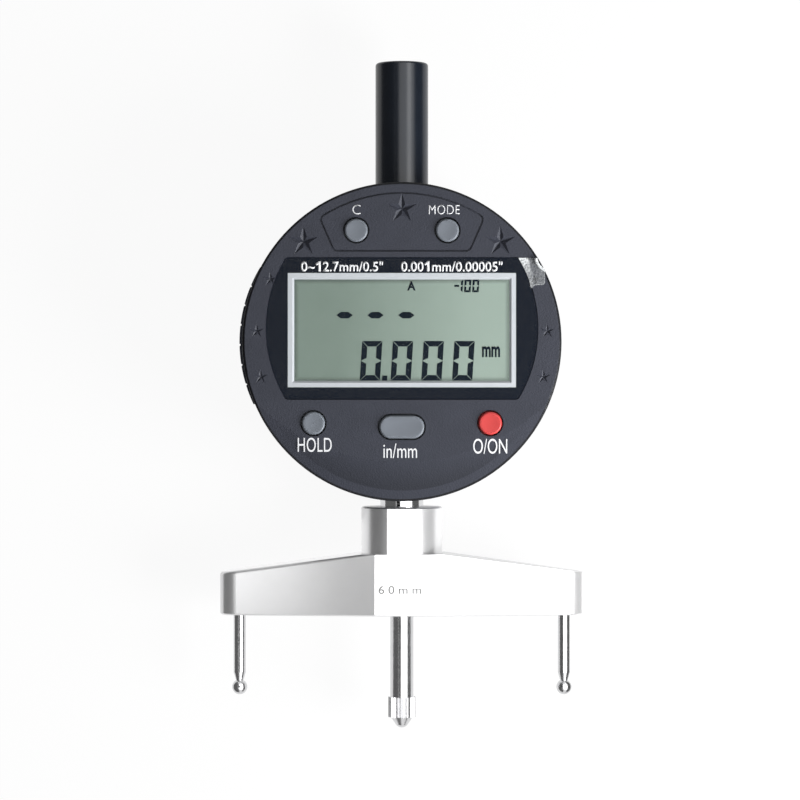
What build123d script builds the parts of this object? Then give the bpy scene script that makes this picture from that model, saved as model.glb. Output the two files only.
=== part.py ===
from build123d import *
import os
from math import cos, degrees, radians, sin, sqrt, tan

# Digital radius gauge: a round digital indicator, clamped by its stem in a bridge with two
# ball-ended pins. Sizes are in millimetres and degrees.
# It lies on its flat back with the display up. The origin is the centre of the back,
# +Z points out of the display, +Y towards the cap and +X to the right of the display.

# Case
case_dia = 57.5            # front shell, outside
case_depth = 25.0          # back plate to display face
axis_z = 9.0               # height of the spindle's axis above the back
wall = 2.0                 # side walls of both shells
face_thk = 2.2             # the wall that carries the display and the keys
front_depth = 8.5          # height of the front shell
rear_step = 0.35           # the front shell stands this far proud of the rear shell
rim_round = 0.5
back_thk = 2.2             # back plate
back_proud = 0.3           # the plate stands this far out of the rear shell
plate_ledge = 0.8          # ledge that the back plate seats on
tongue_h = 1.1             # tongue of the rear shell inside the front shell
tongue_thk = 1.2
drop_fit = 0.1             # clearance of a piece that drops into another
press_gap = 0.02           # radial gap left where a round piece is pressed or screwed in
run_gap = 0.03             # radial clearance of a round piece that slides

# Case screws
screw_angle = 55.0         # from the X axis, the same in each quarter
screw_dia = 2.0
screw_head_dia = 3.8
screw_head_h = 1.0
screw_sink_angle = 90
recess_w = 0.5             # cross recess in a screw's head
recess_depth = 0.5
screw_bite = 3.2           # thread in the front shell's posts
screw_wall = 1.2           # plastic round each screw
column_web = 0.7           # how much wider the columns are than the posts above them
screw_tip_gap = 0.4

# Keys
key_inset = 7.12           # the round keys' circle, inside the case's edge
upper_key_angle = 22.3     # from +Y
lower_key_angle = 132.7
unit_key_inset = 13.4      # the oval key, above the case's lower edge
key_dia = 4.15
unit_key_w = 8.07
key_clear = 0.3            # gap round a key in its hole
key_flange = 0.58          # width of the lip that holds a key in
key_flange_thk = 0.8
key_proud = 0.45
key_round = 0.3
key_rest_gap = 0.1         # lip to cover at rest
key_travel = 0.5
switch_w = 3.2
switch_body_h = 1.2
switch_plunger_dia = 1.6   # across corners
switch_plunger_sides = 8
switch_gap = 0.05          # left under a pressed key

# Display
panel_inset = 4.25         # the panel's round sides, inside the case's edge
panel_top_gap = 4.84       # upper keys to the panel
panel_bottom_gap = 4.93    # oval key to the panel
panel_thk = 1.0
panel_corner = 0.9
bezel_side = 0.385         # panel's straight edge ends to the bezel
bezel_top_gap = 2.84       # band above the bezel, for the range
bezel_bottom_gap = 2.22
bezel_band = 1.14
bezel_bevel = 0.35
screen_depth = 1.1         # face to the top of the liquid crystal cell
lens_thk = 0.4
lens_lap = 0.5             # lens under the bezel
cell_lap_x = 0.3           # liquid crystal cell beyond the bezel
cell_lap_y = 0.45
cell_thk = 2.2
glass_thk = 1.1            # the cell's upper glass
glass_ledge = 2.4          # upper glass past the lower one, where the strips press
strip_w = 1.8              # rubber contact strips under the cell's upper glass
strip_h = 2.2              # lower glass to the circuit board
strip_edge = 0.3
film_thk = 0.12
film_edge = 0.3            # film inside the panel's edge
tab_left = 19.5            # pull tab at the film's upper right corner
tab_right = 25.6
tab_bottom = 10.2
tab_top = 15.0
tab_corner = 0.8

# Ornament pressed into the face
groove_r = 26.9            # round side of the outline about the upper keys
groove_half_top = 15.0
groove_half_bottom = 12.3
groove_bottom_gap = 1.0    # outline to the panel
groove_corner = 1.2
groove_w = 0.32
groove_depth = 0.35
star_waist = 0.36          # inner to outer radius of a star
star_slope = 0.2           # depth of a star's middle to its radius
big_star_r = 2.85
small_star_r = 1.4
top_star_inset = 4.85
side_star_inset = 3.5
side_star_angle = 44.5     # from +Y
small_star_inset = 2.55
small_star_angles = (64.6, 85.8, 104.0)
sweep_r = 37.4             # edge of the lower crescent, where the face falls away
sweep_y = 15.7
sweep_fall = 5.0           # degrees

# Circuit board
board_thk = 1.2
board_gap = 0.6            # board to the front shell's wall
chip_w = 8.0
chip_h = 1.0
chip_x = 11.0
crystal_len = 6.0
crystal_dia = 2.0

# Spindle and its guides
travel = 12.7
spindle_dia = 4.3
spindle_chamfer = 0.4
stem_dia = 8.0
stem_reach = 17.35         # below the rear shell
bush_dia = 6.0
bush_len = 9.0
neck_dia = 7.4             # threaded neck that the cap screws on
neck_len = 5.2
guide_span = 40.0          # between the two guide blocks
block_left = 7.0           # guide blocks, either side of the axis
block_right = 10.0
rod_dia = 2.0
rod_x = 7.5
rod_seat = 4.0
stop_gap = 0.1             # carrier to the lower block at rest
carrier_len = 10.0
carrier_half_w = 4.5
carrier_below = 4.3        # carrier under the spindle's axis
fork_lip = 2.0
track_w = 9.0              # moving scale and its plate
track_len = 26.0
track_plate_thk = 1.2
scale_thk = 0.6
scale_margin = 0.5
scale_gap = 0.3            # moving scale to the fixed board
sensor_z = 5.6             # fixed sensor board above the spindle's axis
sensor_w = 12.0
sensor_thk = 1.0
sensor_lap = 3.2           # sensor board on each guide block
link_w = 6.0
link_len = 2.4
small_screw_dia = 1.2
small_screw_head_dia = 2.2
small_screw_head_h = 0.8
small_screw_len = 3.4
small_screw_x = 4.8
spring_wire = 0.4
spring_dia = 5.8           # outside
spring_turns = 8
spring_wire_sides = 4
spring_gap = 0.05

# Cap over the spindle's upper end
cap_dia = 9.75
cap_seat = 0.8             # depth of the flat that the cap stands on
cap_top_y = 51.8
cap_end_thk = 1.2
cap_top_gap = 0.6          # above the spindle when it is pushed right up
cap_round = 0.35

# Battery drawer, in the left side
drawer_angle = -5.6        # tray's middle, above the -X axis
grip_angle = 2.8           # grip's middle
grip_half_angle = 25.3
grip_proud = 1.4           # at its middle
grip_bulge_r = 26.7        # its outer side is rounder than the case
grip_gap = 0.15
grip_h = 9.6
grip_notches = 6
grip_notch_pitch = 3.69    # along the outer side
grip_notch_depth = 0.25
cell_dia = 11.6
cell_h = 5.4
tray_wall = 0.8
tray_floor = 0.8
tray_fit = 0.1             # cell in the drawer
slide_fit = 0.15           # drawer in its slot
tray_front = 2.2           # solid end behind the grip
bay_wall = 1.2
bay_roof_len = 4.5
leaf_thk = 0.25
leaf_w = 3.0
leaf_slot_w = 3.6

# Bridge
boss_gap = 1.45            # front shell to the boss
boss_dia = 15.0
boss_h = 8.6               # boss above the arms
bridge_h = 19.9            # boss top to the bridge's underside
bridge_half_depth = 7.0    # spindle axis to the flat front
flat_half_w = 5.0
pin_span = 60.0            # between the balls' centres
arm_end_r = 3.6
arm_end_h = 7.8
edge_break = 0.25
corner_round = 0.6
stem_end_gap = 0.1
spindle_hole_gap = 0.5
grub_dia = 3.0
grub_len = 2.6
grub_drop = 4.4            # below the boss's top
grub_socket = 1.5
grub_gap = 0.05

# Ball-ended pins
pin_dia = 2.25
pin_seat = 5.0
pin_len = 10.75            # below the bridge, down to the neck
neck_narrow_dia = 1.4
pin_neck_len = 1.5
ball_dia = 2.8

# Contact point
tip_reach = 6.15           # below the balls at rest
tip_len = 2.0
tip_root_dia = 4.2
tip_nose_r = 1.35
collar_dia = 5.0
collar_len = 3.7
collar_flutes = 24
flute_depth = 0.28
shank_dia = 2.5
shank_len = 5.0

# Sizes that follow from the ones above
front_r = case_dia / 2
front_inner_r = front_r - wall
rear_r = front_r - rear_step
rear_inner_r = rear_r - wall
seat_r = rear_inner_r + plate_ledge

face_z = case_depth
cover_inner_z = face_z - face_thk
split_z = face_z - front_depth
screen_z = face_z - screen_depth
cell_bottom_z = screen_z - cell_thk
board_top = cell_bottom_z - strip_h
board_bottom = board_top - board_thk
board_r = front_inner_r - board_gap

post_r = screw_dia / 2 + screw_wall
column_r = post_r + column_web
screw_len = board_top + screw_bite
screw_circle_r = front_inner_r - post_r - board_gap
screw_x = screw_circle_r * cos(radians(screw_angle))
screw_y = screw_circle_r * sin(radians(screw_angle))
screw_spots = [(x, y) for x in (-screw_x, screw_x) for y in (-screw_y, screw_y)]

key_circle_r = front_r - key_inset
upper_key_x = key_circle_r * sin(radians(upper_key_angle))
upper_key_y = key_circle_r * cos(radians(upper_key_angle))
lower_key_x = key_circle_r * sin(radians(lower_key_angle))
lower_key_y = key_circle_r * cos(radians(lower_key_angle))
unit_key_y = unit_key_inset - front_r
key_spots = {
    "clear_key": (-upper_key_x, upper_key_y),
    "mode_key": (upper_key_x, upper_key_y),
    "hold_key": (-lower_key_x, lower_key_y),
    "power_key": (lower_key_x, lower_key_y),
}
key_flange_top = cover_inner_z - key_rest_gap
key_bottom = key_flange_top - key_flange_thk
switch_top = key_bottom - key_travel - switch_gap

panel_r = front_r - panel_inset
panel_top = upper_key_y - panel_top_gap
panel_bottom = unit_key_y + panel_bottom_gap
panel_h = panel_top - panel_bottom
panel_cy = (panel_top + panel_bottom) / 2
panel_end_x = sqrt(panel_r**2 - (panel_h / 2) ** 2)
bezel_w = 2 * (panel_end_x - bezel_side)
bezel_h = panel_h - bezel_top_gap - bezel_bottom_gap
bezel_cy = (panel_top - bezel_top_gap + panel_bottom + bezel_bottom_gap) / 2
window_w = bezel_w - 2 * bezel_band
window_h = bezel_h - 2 * bezel_band
lens_w = window_w + 2 * lens_lap
lens_h = window_h + 2 * lens_lap
cell_w = bezel_w + 2 * cell_lap_x
cell_d = bezel_h + 2 * cell_lap_y

block_face = guide_span / 2
sensor_bottom = axis_z + sensor_z
sensor_top = sensor_bottom + sensor_thk
scale_top = sensor_bottom - scale_gap
track_top = scale_top - scale_thk
track_bottom = track_top - track_plate_thk
sensor_len = guide_span + 2 * sensor_lap
carrier_y = stop_gap - block_face
carrier_top_y = carrier_y + carrier_len

stem_end_y = -rear_r - stem_reach
cap_seat_y = rear_r - cap_seat
neck_top_y = cap_seat_y + neck_len
cap_inner_y = cap_top_y - cap_end_thk
spindle_top_y = cap_inner_y - cap_top_gap - travel

boss_top_y = -front_r - boss_gap
shoulder_y = boss_top_y - boss_h
bridge_bottom_y = boss_top_y - bridge_h
arm_end_x = pin_span / 2 + arm_end_r
grub_y = boss_top_y - grub_drop

neck_start_y = bridge_bottom_y - pin_len
ball_r = ball_dia / 2
ball_y = neck_start_y - pin_neck_len - sqrt(ball_r**2 - (neck_narrow_dia / 2) ** 2)
tip_y = ball_y - ball_r - tip_reach
collar_bottom_y = tip_y + tip_len
collar_top_y = collar_bottom_y + collar_len

drawer_y = rear_r * sin(radians(drawer_angle))
tray_w = cell_dia + 2 * (tray_fit + tray_wall)
tray_h = tray_floor + cell_h + 2 * tray_fit
tray_bottom = axis_z - tray_h / 2
cell_bottom = tray_bottom + tray_floor + tray_fit
cell_x = -rear_inner_r + tray_front - tray_wall + cell_dia / 2
tray_inner_x = cell_x + cell_dia / 2 + tray_fit + tray_wall
grip_inner_r = rear_r + grip_gap
grip_outer_r = rear_r + grip_proud
tray_end_r = (grip_inner_r + grip_outer_r - grip_notch_depth) / 2
slot_w = tray_w + 2 * slide_fit
slot_bottom = tray_bottom - slide_fit
slot_h = tray_h + 2 * slide_fit
bay_inner_x = tray_inner_x + slide_fit

os.makedirs("parts", exist_ok=True)


def across(y):
    """Workplane square to the spindle at height y, centred on its axis, facing +Y."""
    return Plane(origin=(0, y, axis_z), x_dir=(1, 0, 0), z_dir=(0, 1, 0))


def level(z):
    """Workplane parallel to the display at height z."""
    return Plane.XY.offset(z)


def panel_outline(grow):
    """Display panel's outline: two straight edges and two round sides."""
    with BuildSketch(mode=Mode.PRIVATE) as outline:
        with Locations((0, panel_cy)):
            Circle(panel_r + grow)
            Rectangle(2 * (panel_r + grow), panel_h + 2 * grow, mode=Mode.INTERSECT)
        fillet(outline.vertices(), panel_corner)
    return outline.sketch


def star_outline(radius):
    """Five-pointed star with one point up."""
    points = []
    for k in range(10):
        reach = radius if k % 2 == 0 else radius * star_waist
        turn = radians(90 + 36 * k)
        points.append((reach * cos(turn), reach * sin(turn)))
    with BuildSketch(mode=Mode.PRIVATE) as outline:
        Polygon(*points, align=None)
    return outline.sketch


def star_pit(radius):
    """Pit with a star's outline whose facets meet at one low point."""
    with BuildPart(mode=Mode.PRIVATE) as pit:
        loft(sections=[star_outline(radius).face(), Vertex(0, 0, -radius * star_slope)], ruled=True)
    return pit.part


def star_place(inset, angle):
    """Point on the face inside the case's edge, at an angle from +Y towards +X."""
    reach = front_r - inset
    return (reach * sin(radians(angle)), reach * cos(radians(angle)), face_z)


def save(piece, name):
    """Label a finished piece and write it under its node's name."""
    piece.part.label = name
    export_step(piece.part, f"parts/{name}.step")


# Front shell: the face, its side wall and the posts for the case screws
with BuildPart() as front_cover:
    with BuildSketch(level(split_z)):
        Circle(front_r)
    extrude(amount=front_depth)
    fillet(front_cover.edges().group_by(Axis.Z)[-1], rim_round)
    with BuildSketch(level(split_z)):
        Circle(front_inner_r)
    extrude(amount=front_depth - face_thk, mode=Mode.SUBTRACT)
    with BuildSketch(level(board_top)):
        with Locations(*screw_spots):
            Circle(post_r)
    extrude(amount=cover_inner_z - board_top)
    with BuildSketch(level(board_top)):
        with Locations(*screw_spots):
            Circle(screw_dia / 2 + press_gap)
    extrude(amount=screw_len + screw_tip_gap - board_top, mode=Mode.SUBTRACT)
    # Seat of the display panel, and the opening behind it for the liquid crystal cell
    with BuildSketch(level(face_z - panel_thk)):
        add(panel_outline(drop_fit / 2))
    extrude(amount=panel_thk, mode=Mode.SUBTRACT)
    with BuildSketch(level(cover_inner_z)):
        with Locations((0, bezel_cy)):
            Rectangle(cell_w + 2 * drop_fit, cell_d + 2 * drop_fit)
    extrude(amount=face_thk, mode=Mode.SUBTRACT)
    # Key holes
    with BuildSketch(level(cover_inner_z)):
        with Locations(*key_spots.values()):
            Circle(key_dia / 2 + key_clear)
        with Locations((0, unit_key_y)):
            SlotOverall(unit_key_w + 2 * key_clear, key_dia + 2 * key_clear)
    extrude(amount=face_thk, mode=Mode.SUBTRACT)
    # Pressed outline about the upper keys
    with BuildSketch(level(face_z - groove_depth)) as key_border:
        with BuildLine():
            foot_y = panel_top + groove_bottom_gap
            shoulder = (groove_half_top, sqrt(groove_r**2 - groove_half_top**2))
            Polyline(
                (-shoulder[0], shoulder[1]),
                (-groove_half_bottom, foot_y),
                (groove_half_bottom, foot_y),
                shoulder,
            )
            ThreePointArc(shoulder, (0, groove_r), (-shoulder[0], shoulder[1]))
        make_face()
        fillet(key_border.vertices(), groove_corner)
        offset(amount=-groove_w, mode=Mode.SUBTRACT)
    extrude(amount=groove_depth, mode=Mode.SUBTRACT)
    # Stars
    with Locations(
        star_place(top_star_inset, 0),
        star_place(side_star_inset, -side_star_angle),
        star_place(side_star_inset, side_star_angle),
    ):
        add(star_pit(big_star_r), mode=Mode.SUBTRACT)
    with Locations(
        *[star_place(small_star_inset, side * a) for side in (-1, 1) for a in small_star_angles]
    ):
        add(star_pit(small_star_r), mode=Mode.SUBTRACT)
    # Lower crescent, where the face falls away to the rim
    with BuildSketch(Plane.XZ.offset(-sweep_y)):
        with BuildLine():
            Polyline(
                (sweep_r, face_z),
                (sweep_r + front_r, face_z),
                (sweep_r + front_r, face_z - front_r * tan(radians(sweep_fall))),
                close=True,
            )
        make_face()
    revolve(axis=Axis((0, sweep_y, 0), (0, 0, 1)), mode=Mode.SUBTRACT)
save(front_cover, "front_cover")

# Rear shell: side wall, screw columns, the two guide blocks and the battery bay
with BuildPart() as rear_housing:
    with BuildSketch(level(back_proud)):
        Circle(rear_r)
        Circle(rear_inner_r, mode=Mode.SUBTRACT)
    extrude(amount=split_z - back_proud)
    with BuildSketch(level(split_z)):
        Circle(front_inner_r - drop_fit)
        Circle(front_inner_r - drop_fit - tongue_thk, mode=Mode.SUBTRACT)
    extrude(amount=tongue_h)
    with BuildSketch(level(back_thk)):
        with Locations(*screw_spots):
            Circle(column_r)
    extrude(amount=split_z - back_thk)
    with BuildSketch(level(split_z)):
        with Locations(*screw_spots):
            Circle(post_r)
    extrude(amount=board_bottom - split_z)
    with BuildSketch(level(back_thk)):
        for side in (-1, 1):
            with Locations((0, side * block_face)):
                Rectangle(
                    block_left + block_right,
                    2 * rear_r,
                    align=((Align.CENTER, Align.MIN if side > 0 else Align.MAX)),
                )
        with Locations(((block_right - block_left) / 2, 0)):
            Rectangle(block_left + block_right, 4 * rear_r, mode=Mode.INTERSECT)
        Circle(rear_inner_r + wall / 2, mode=Mode.INTERSECT)
    extrude(amount=sensor_bottom - back_thk)
    # Battery bay: a tunnel that the drawer slides in, open on top over the cell
    with BuildSketch(level(slot_bottom - bay_wall)):
        with Locations((bay_inner_x, drawer_y)):
            Rectangle(bay_inner_x + rear_r, slot_w + 2 * bay_wall, align=(Align.MAX, Align.CENTER))
        Circle(rear_inner_r + wall / 2, mode=Mode.INTERSECT)
    extrude(amount=slot_h + 2 * bay_wall)
    with BuildSketch(level(slot_bottom)):
        with Locations((bay_inner_x, drawer_y)):
            Rectangle(bay_inner_x + 2 * rear_r, slot_w, align=(Align.MAX, Align.CENTER))
    extrude(amount=slot_h, mode=Mode.SUBTRACT)
    with BuildSketch(level(slot_bottom + slot_h)):
        with Locations((bay_inner_x, drawer_y)):
            Rectangle(
                bay_inner_x + rear_inner_r - bay_roof_len, slot_w, align=(Align.MAX, Align.CENTER)
            )
    extrude(amount=bay_wall, mode=Mode.SUBTRACT)
    # Seat of the back plate
    with BuildSketch(level(back_proud)):
        Circle(seat_r)
    extrude(amount=back_thk - back_proud, mode=Mode.SUBTRACT)
    # Screw holes
    with BuildSketch(level(back_thk)):
        with Locations(*screw_spots):
            Circle(screw_dia / 2 + drop_fit)
    extrude(amount=board_bottom - back_thk, mode=Mode.SUBTRACT)
    # Bores for the stem, the upper bush and the guide rod, and the flat under the cap
    with BuildSketch(across(-rear_r - wall)):
        Circle(stem_dia / 2 + press_gap)
    extrude(amount=rear_r + wall - block_face, mode=Mode.SUBTRACT)
    with BuildSketch(across(block_face)):
        Circle(neck_dia / 2 + press_gap)
    extrude(amount=rear_r, mode=Mode.SUBTRACT)
    with BuildSketch(across(cap_seat_y)):
        Circle(cap_dia / 2 + drop_fit)
    extrude(amount=rear_r, mode=Mode.SUBTRACT)
    with BuildSketch(across(-block_face - rod_seat)):
        with Locations((rod_x, 0)):
            Circle(rod_dia / 2 + press_gap)
    extrude(amount=guide_span + 2 * rod_seat, mode=Mode.SUBTRACT)
    # Holes for the sensor board's screws
    with BuildSketch(level(sensor_top - small_screw_len)):
        for side in (-1, 1):
            with Locations((side * small_screw_x, side * (block_face + sensor_lap / 2))):
                Circle(small_screw_dia / 2 + press_gap)
    extrude(amount=small_screw_len, mode=Mode.SUBTRACT)
save(rear_housing, "rear_housing")

# Back plate
with BuildPart() as back_cover:
    with BuildSketch(level(0)):
        Circle(seat_r - drop_fit)
    extrude(amount=back_thk)
    chamfer(back_cover.edges().group_by(Axis.Z)[0], back_proud)
    with Locations(*[Location((x, y, 0), (180, 0, 0)) for x, y in screw_spots]):
        CounterSinkHole(screw_dia / 2 + drop_fit, screw_head_dia / 2 + drop_fit, back_thk, screw_sink_angle)
save(back_cover, "back_cover")

# One long countersunk screw with a cross recess, then the four of them
with BuildPart() as case_screw:
    with BuildSketch(Plane.XZ):
        with BuildLine():
            Polyline(
                (0, 0),
                (screw_head_dia / 2, 0),
                (screw_dia / 2, screw_head_h),
                (screw_dia / 2, screw_len),
                (0, screw_len),
                close=True,
            )
        make_face()
    revolve(axis=Axis.Z)
    with BuildSketch(level(0)):
        Rectangle(screw_dia, recess_w)
        Rectangle(recess_w, screw_dia)
    extrude(amount=recess_depth, mode=Mode.SUBTRACT)
with BuildPart() as case_screws:
    with Locations(*screw_spots):
        add(case_screw.part)
save(case_screws, "case_screws")

# Display panel: glossy plate with the opening for the bezel
with BuildPart() as display_panel:
    with BuildSketch(level(face_z - panel_thk)):
        add(panel_outline(-drop_fit / 2))
        with Locations((0, bezel_cy)):
            Rectangle(bezel_w + drop_fit, bezel_h + drop_fit, mode=Mode.SUBTRACT)
    extrude(amount=panel_thk)
save(display_panel, "display_panel")

# Bezel with a bevelled window, over the edge of the lens
with BuildPart() as display_bezel:
    with BuildSketch(level(screen_z)):
        with Locations((0, bezel_cy)):
            Rectangle(bezel_w, bezel_h)
            Rectangle(window_w, window_h, mode=Mode.SUBTRACT)
    extrude(amount=screen_depth)
    window = display_bezel.faces().sort_by(Axis.Z)[-1].inner_wires()
    chamfer(window.edges(), bezel_bevel)
    with BuildSketch(level(screen_z)):
        with Locations((0, bezel_cy)):
            Rectangle(lens_w + drop_fit, lens_h + drop_fit)
    extrude(amount=lens_thk, mode=Mode.SUBTRACT)
save(display_bezel, "display_bezel")

# Clear lens
with BuildPart() as display_lens:
    with BuildSketch(level(screen_z)):
        with Locations((0, bezel_cy)):
            Rectangle(lens_w, lens_h)
    extrude(amount=lens_thk)
save(display_lens, "display_lens")

# Liquid crystal cell: two glasses, the upper one longer where the contact strips press
with BuildPart() as lcd_cell:
    with BuildSketch(level(cell_bottom_z)):
        with Locations((0, bezel_cy)):
            Rectangle(cell_w, cell_d - 2 * glass_ledge)
    extrude(amount=cell_thk)
    with BuildSketch(level(screen_z - glass_thk)):
        with Locations((0, bezel_cy)):
            Rectangle(cell_w, cell_d)
    extrude(amount=glass_thk)
save(lcd_cell, "lcd_cell")

# Rubber contact strips between the cell and the circuit board
with BuildPart() as contact_strips:
    with BuildSketch(level(board_top)):
        for side in (-1, 1):
            with Locations((0, bezel_cy + side * (cell_d / 2 - strip_edge - strip_w / 2))):
                Rectangle(window_w, strip_w)
    extrude(amount=screen_z - glass_thk - board_top)
save(contact_strips, "contact_strips")

# Protective film over the panel, with a pull tab past the rim at the upper right
with BuildPart() as screen_film:
    with BuildSketch(level(face_z)):
        add(panel_outline(-film_edge))
        with BuildSketch(mode=Mode.PRIVATE) as tab:
            with Locations(((tab_left + tab_right) / 2, (tab_bottom + tab_top) / 2)):
                RectangleRounded(tab_right - tab_left, tab_top - tab_bottom, tab_corner)
        add(tab.sketch)
    extrude(amount=film_thk)
save(screen_film, "screen_film")

# Circuit board with its processor and crystal soldered on
with BuildPart() as circuit_board:
    with BuildSketch(level(board_bottom)):
        Circle(board_r)
        with Locations(*screw_spots):
            Circle(screw_dia / 2 + drop_fit, mode=Mode.SUBTRACT)
    extrude(amount=board_thk)
    with BuildSketch(level(board_bottom)):
        with Locations((chip_x, 0)):
            Rectangle(chip_w, chip_w)
    extrude(amount=-chip_h)
    with BuildSketch(Plane(origin=(chip_x, chip_w, board_bottom), z_dir=(1, 0, 0))):
        Circle(crystal_dia / 2)
    extrude(amount=crystal_len / 2, both=True)
save(circuit_board, "circuit_board")

# Push switches under the keys
with BuildPart() as key_switches:
    with BuildSketch(level(board_top)):
        with Locations(*key_spots.values(), (0, unit_key_y)):
            Rectangle(switch_w, switch_w)
    extrude(amount=switch_body_h)
    with BuildSketch(level(board_top + switch_body_h)):
        with Locations(*key_spots.values(), (0, unit_key_y)):
            RegularPolygon(switch_plunger_dia / 2, switch_plunger_sides)
    extrude(amount=switch_top - board_top - switch_body_h)
save(key_switches, "key_switches")

# Round keys, each with a lip under the face
for name, (x, y) in key_spots.items():
    with BuildPart() as round_key:
        with BuildSketch(level(key_bottom)):
            with Locations((x, y)):
                Circle(key_dia / 2 + key_flange)
        extrude(amount=key_flange_thk)
        with BuildSketch(level(key_flange_top)):
            with Locations((x, y)):
                Circle(key_dia / 2)
        extrude(amount=face_z + key_proud - key_flange_top)
        chamfer(round_key.edges().group_by(Axis.Z)[-1], key_round)
    save(round_key, name)

# Oval key
with BuildPart() as unit_key:
    with BuildSketch(level(key_bottom)):
        with Locations((0, unit_key_y)):
            SlotOverall(unit_key_w + 2 * key_flange, key_dia + 2 * key_flange)
    extrude(amount=key_flange_thk)
    with BuildSketch(level(key_flange_top)):
        with Locations((0, unit_key_y)):
            SlotOverall(unit_key_w, key_dia)
    extrude(amount=face_z + key_proud - key_flange_top)
    chamfer(unit_key.edges().group_by(Axis.Z)[-1], key_round)
save(unit_key, "unit_key")

# Stem: a ground sleeve, pressed into the lower guide block
with BuildPart() as stem:
    with BuildSketch(across(stem_end_y)):
        Circle(stem_dia / 2)
        Circle(spindle_dia / 2 + spindle_hole_gap, mode=Mode.SUBTRACT)
    extrude(amount=-block_face - stem_end_y)
    with BuildSketch(across(stem_end_y)):
        Circle(bush_dia / 2 + press_gap)
    extrude(amount=bush_len, mode=Mode.SUBTRACT)
    chamfer(stem.edges().group_by(Axis.Y)[0].sort_by(SortBy.RADIUS)[-1], edge_break)
save(stem, "stem")

# Lower bush, in the stem's end
with BuildPart() as lower_bush:
    with BuildSketch(across(stem_end_y)):
        Circle(bush_dia / 2)
        Circle(spindle_dia / 2 + run_gap, mode=Mode.SUBTRACT)
    extrude(amount=bush_len)
save(lower_bush, "lower_bush")

# Upper bush, with the neck that the cap screws on
with BuildPart() as upper_bush:
    with BuildSketch(across(block_face)):
        Circle(neck_dia / 2)
        Circle(spindle_dia / 2 + run_gap, mode=Mode.SUBTRACT)
    extrude(amount=neck_top_y - block_face)
    chamfer(upper_bush.edges().group_by(Axis.Y)[-1].sort_by(SortBy.RADIUS)[-1], edge_break)
save(upper_bush, "upper_bush")

# Cap over the spindle's upper end
with BuildPart() as spindle_cap:
    with BuildSketch(across(cap_seat_y)):
        Circle(cap_dia / 2)
    extrude(amount=cap_top_y - cap_seat_y)
    chamfer(spindle_cap.edges().group_by(Axis.Y)[-1], cap_round)
    with BuildSketch(across(cap_seat_y)):
        Circle(neck_dia / 2 + press_gap)
    extrude(amount=cap_inner_y - cap_seat_y, mode=Mode.SUBTRACT)
save(spindle_cap, "spindle_cap")

# Rod that keeps the spindle from turning
with BuildPart() as guide_rod:
    with BuildSketch(across(-block_face - rod_seat)):
        with Locations((rod_x, 0)):
            Circle(rod_dia / 2)
    extrude(amount=guide_span + 2 * rod_seat)
save(guide_rod, "guide_rod")

# Spindle, tapped at its lower end for the contact point
with BuildPart() as spindle:
    with BuildSketch(across(collar_top_y)):
        Circle(spindle_dia / 2)
    extrude(amount=spindle_top_y - collar_top_y)
    chamfer(spindle.edges().group_by(Axis.Y)[-1], spindle_chamfer)
    with BuildSketch(across(collar_top_y)):
        Circle(shank_dia / 2 + press_gap)
    extrude(amount=shank_len + press_gap, mode=Mode.SUBTRACT)
save(spindle, "spindle")

# Contact point: threaded shank, fluted collar and a rounded tip
with BuildPart() as contact_point:
    with BuildSketch(level(axis_z)):
        with Locations((0, tip_y + tip_nose_r)):
            Circle(tip_nose_r)
        with Locations((0, collar_bottom_y)):
            Rectangle(tip_root_dia, collar_len, align=(Align.CENTER, Align.MIN))
        make_hull()
        with Locations((0, tip_y)):
            Rectangle(
                collar_dia, tip_len + collar_len, align=(Align.MIN, Align.MIN), mode=Mode.INTERSECT
            )
    revolve(axis=Axis((0, 0, axis_z), (0, 1, 0)))
    with BuildSketch(across(collar_bottom_y)):
        Circle(collar_dia / 2)
    extrude(amount=collar_len)
    with BuildSketch(across(collar_bottom_y)):
        with PolarLocations(collar_dia / 2, collar_flutes):
            Rectangle(flute_depth * sqrt(2), flute_depth * sqrt(2), rotation=45)
    extrude(amount=collar_len, mode=Mode.SUBTRACT)
    with BuildSketch(across(collar_top_y)):
        Circle(shank_dia / 2)
    extrude(amount=shank_len)
save(contact_point, "contact_point")

# Side of the carrier where its clamping screw goes in
clamp_side = Plane(origin=(-carrier_half_w, carrier_y + carrier_len / 2, axis_z), z_dir=(1, 0, 0))

# Carrier: clamped on the spindle, forked round the guide rod, with a plate for the scale
with BuildPart() as carrier:
    carrier_z = axis_z - carrier_below
    with BuildSketch(level(carrier_z)):
        with Locations((-carrier_half_w, carrier_y)):
            Rectangle(
                carrier_half_w + rod_x + rod_dia / 2 + fork_lip,
                carrier_len,
                align=(Align.MIN, Align.MIN),
            )
    extrude(amount=track_bottom - carrier_z)
    with BuildSketch(level(track_bottom)):
        with Locations((0, carrier_y)):
            Rectangle(track_w, track_len, align=(Align.CENTER, Align.MIN))
    extrude(amount=track_plate_thk)
    with BuildSketch(across(carrier_y)):
        Circle(spindle_dia / 2 + press_gap)
        with Locations((rod_x, 0)):
            Circle(rod_dia / 2 + run_gap)
            Rectangle(
                2 * (rod_dia + fork_lip),
                rod_dia + 2 * run_gap,
                align=(Align.MIN, Align.CENTER),
            )
    extrude(amount=carrier_len, mode=Mode.SUBTRACT)
    with BuildSketch(clamp_side):
        Circle(small_screw_dia / 2 + press_gap)
    extrude(amount=carrier_half_w, mode=Mode.SUBTRACT)
save(carrier, "carrier")

# Screw that clamps the carrier on the spindle
with BuildPart() as carrier_screw:
    with BuildSketch(clamp_side):
        Circle(small_screw_dia / 2)
    extrude(amount=carrier_half_w - spindle_dia / 2 - grub_gap)
save(carrier_screw, "carrier_screw")

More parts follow.
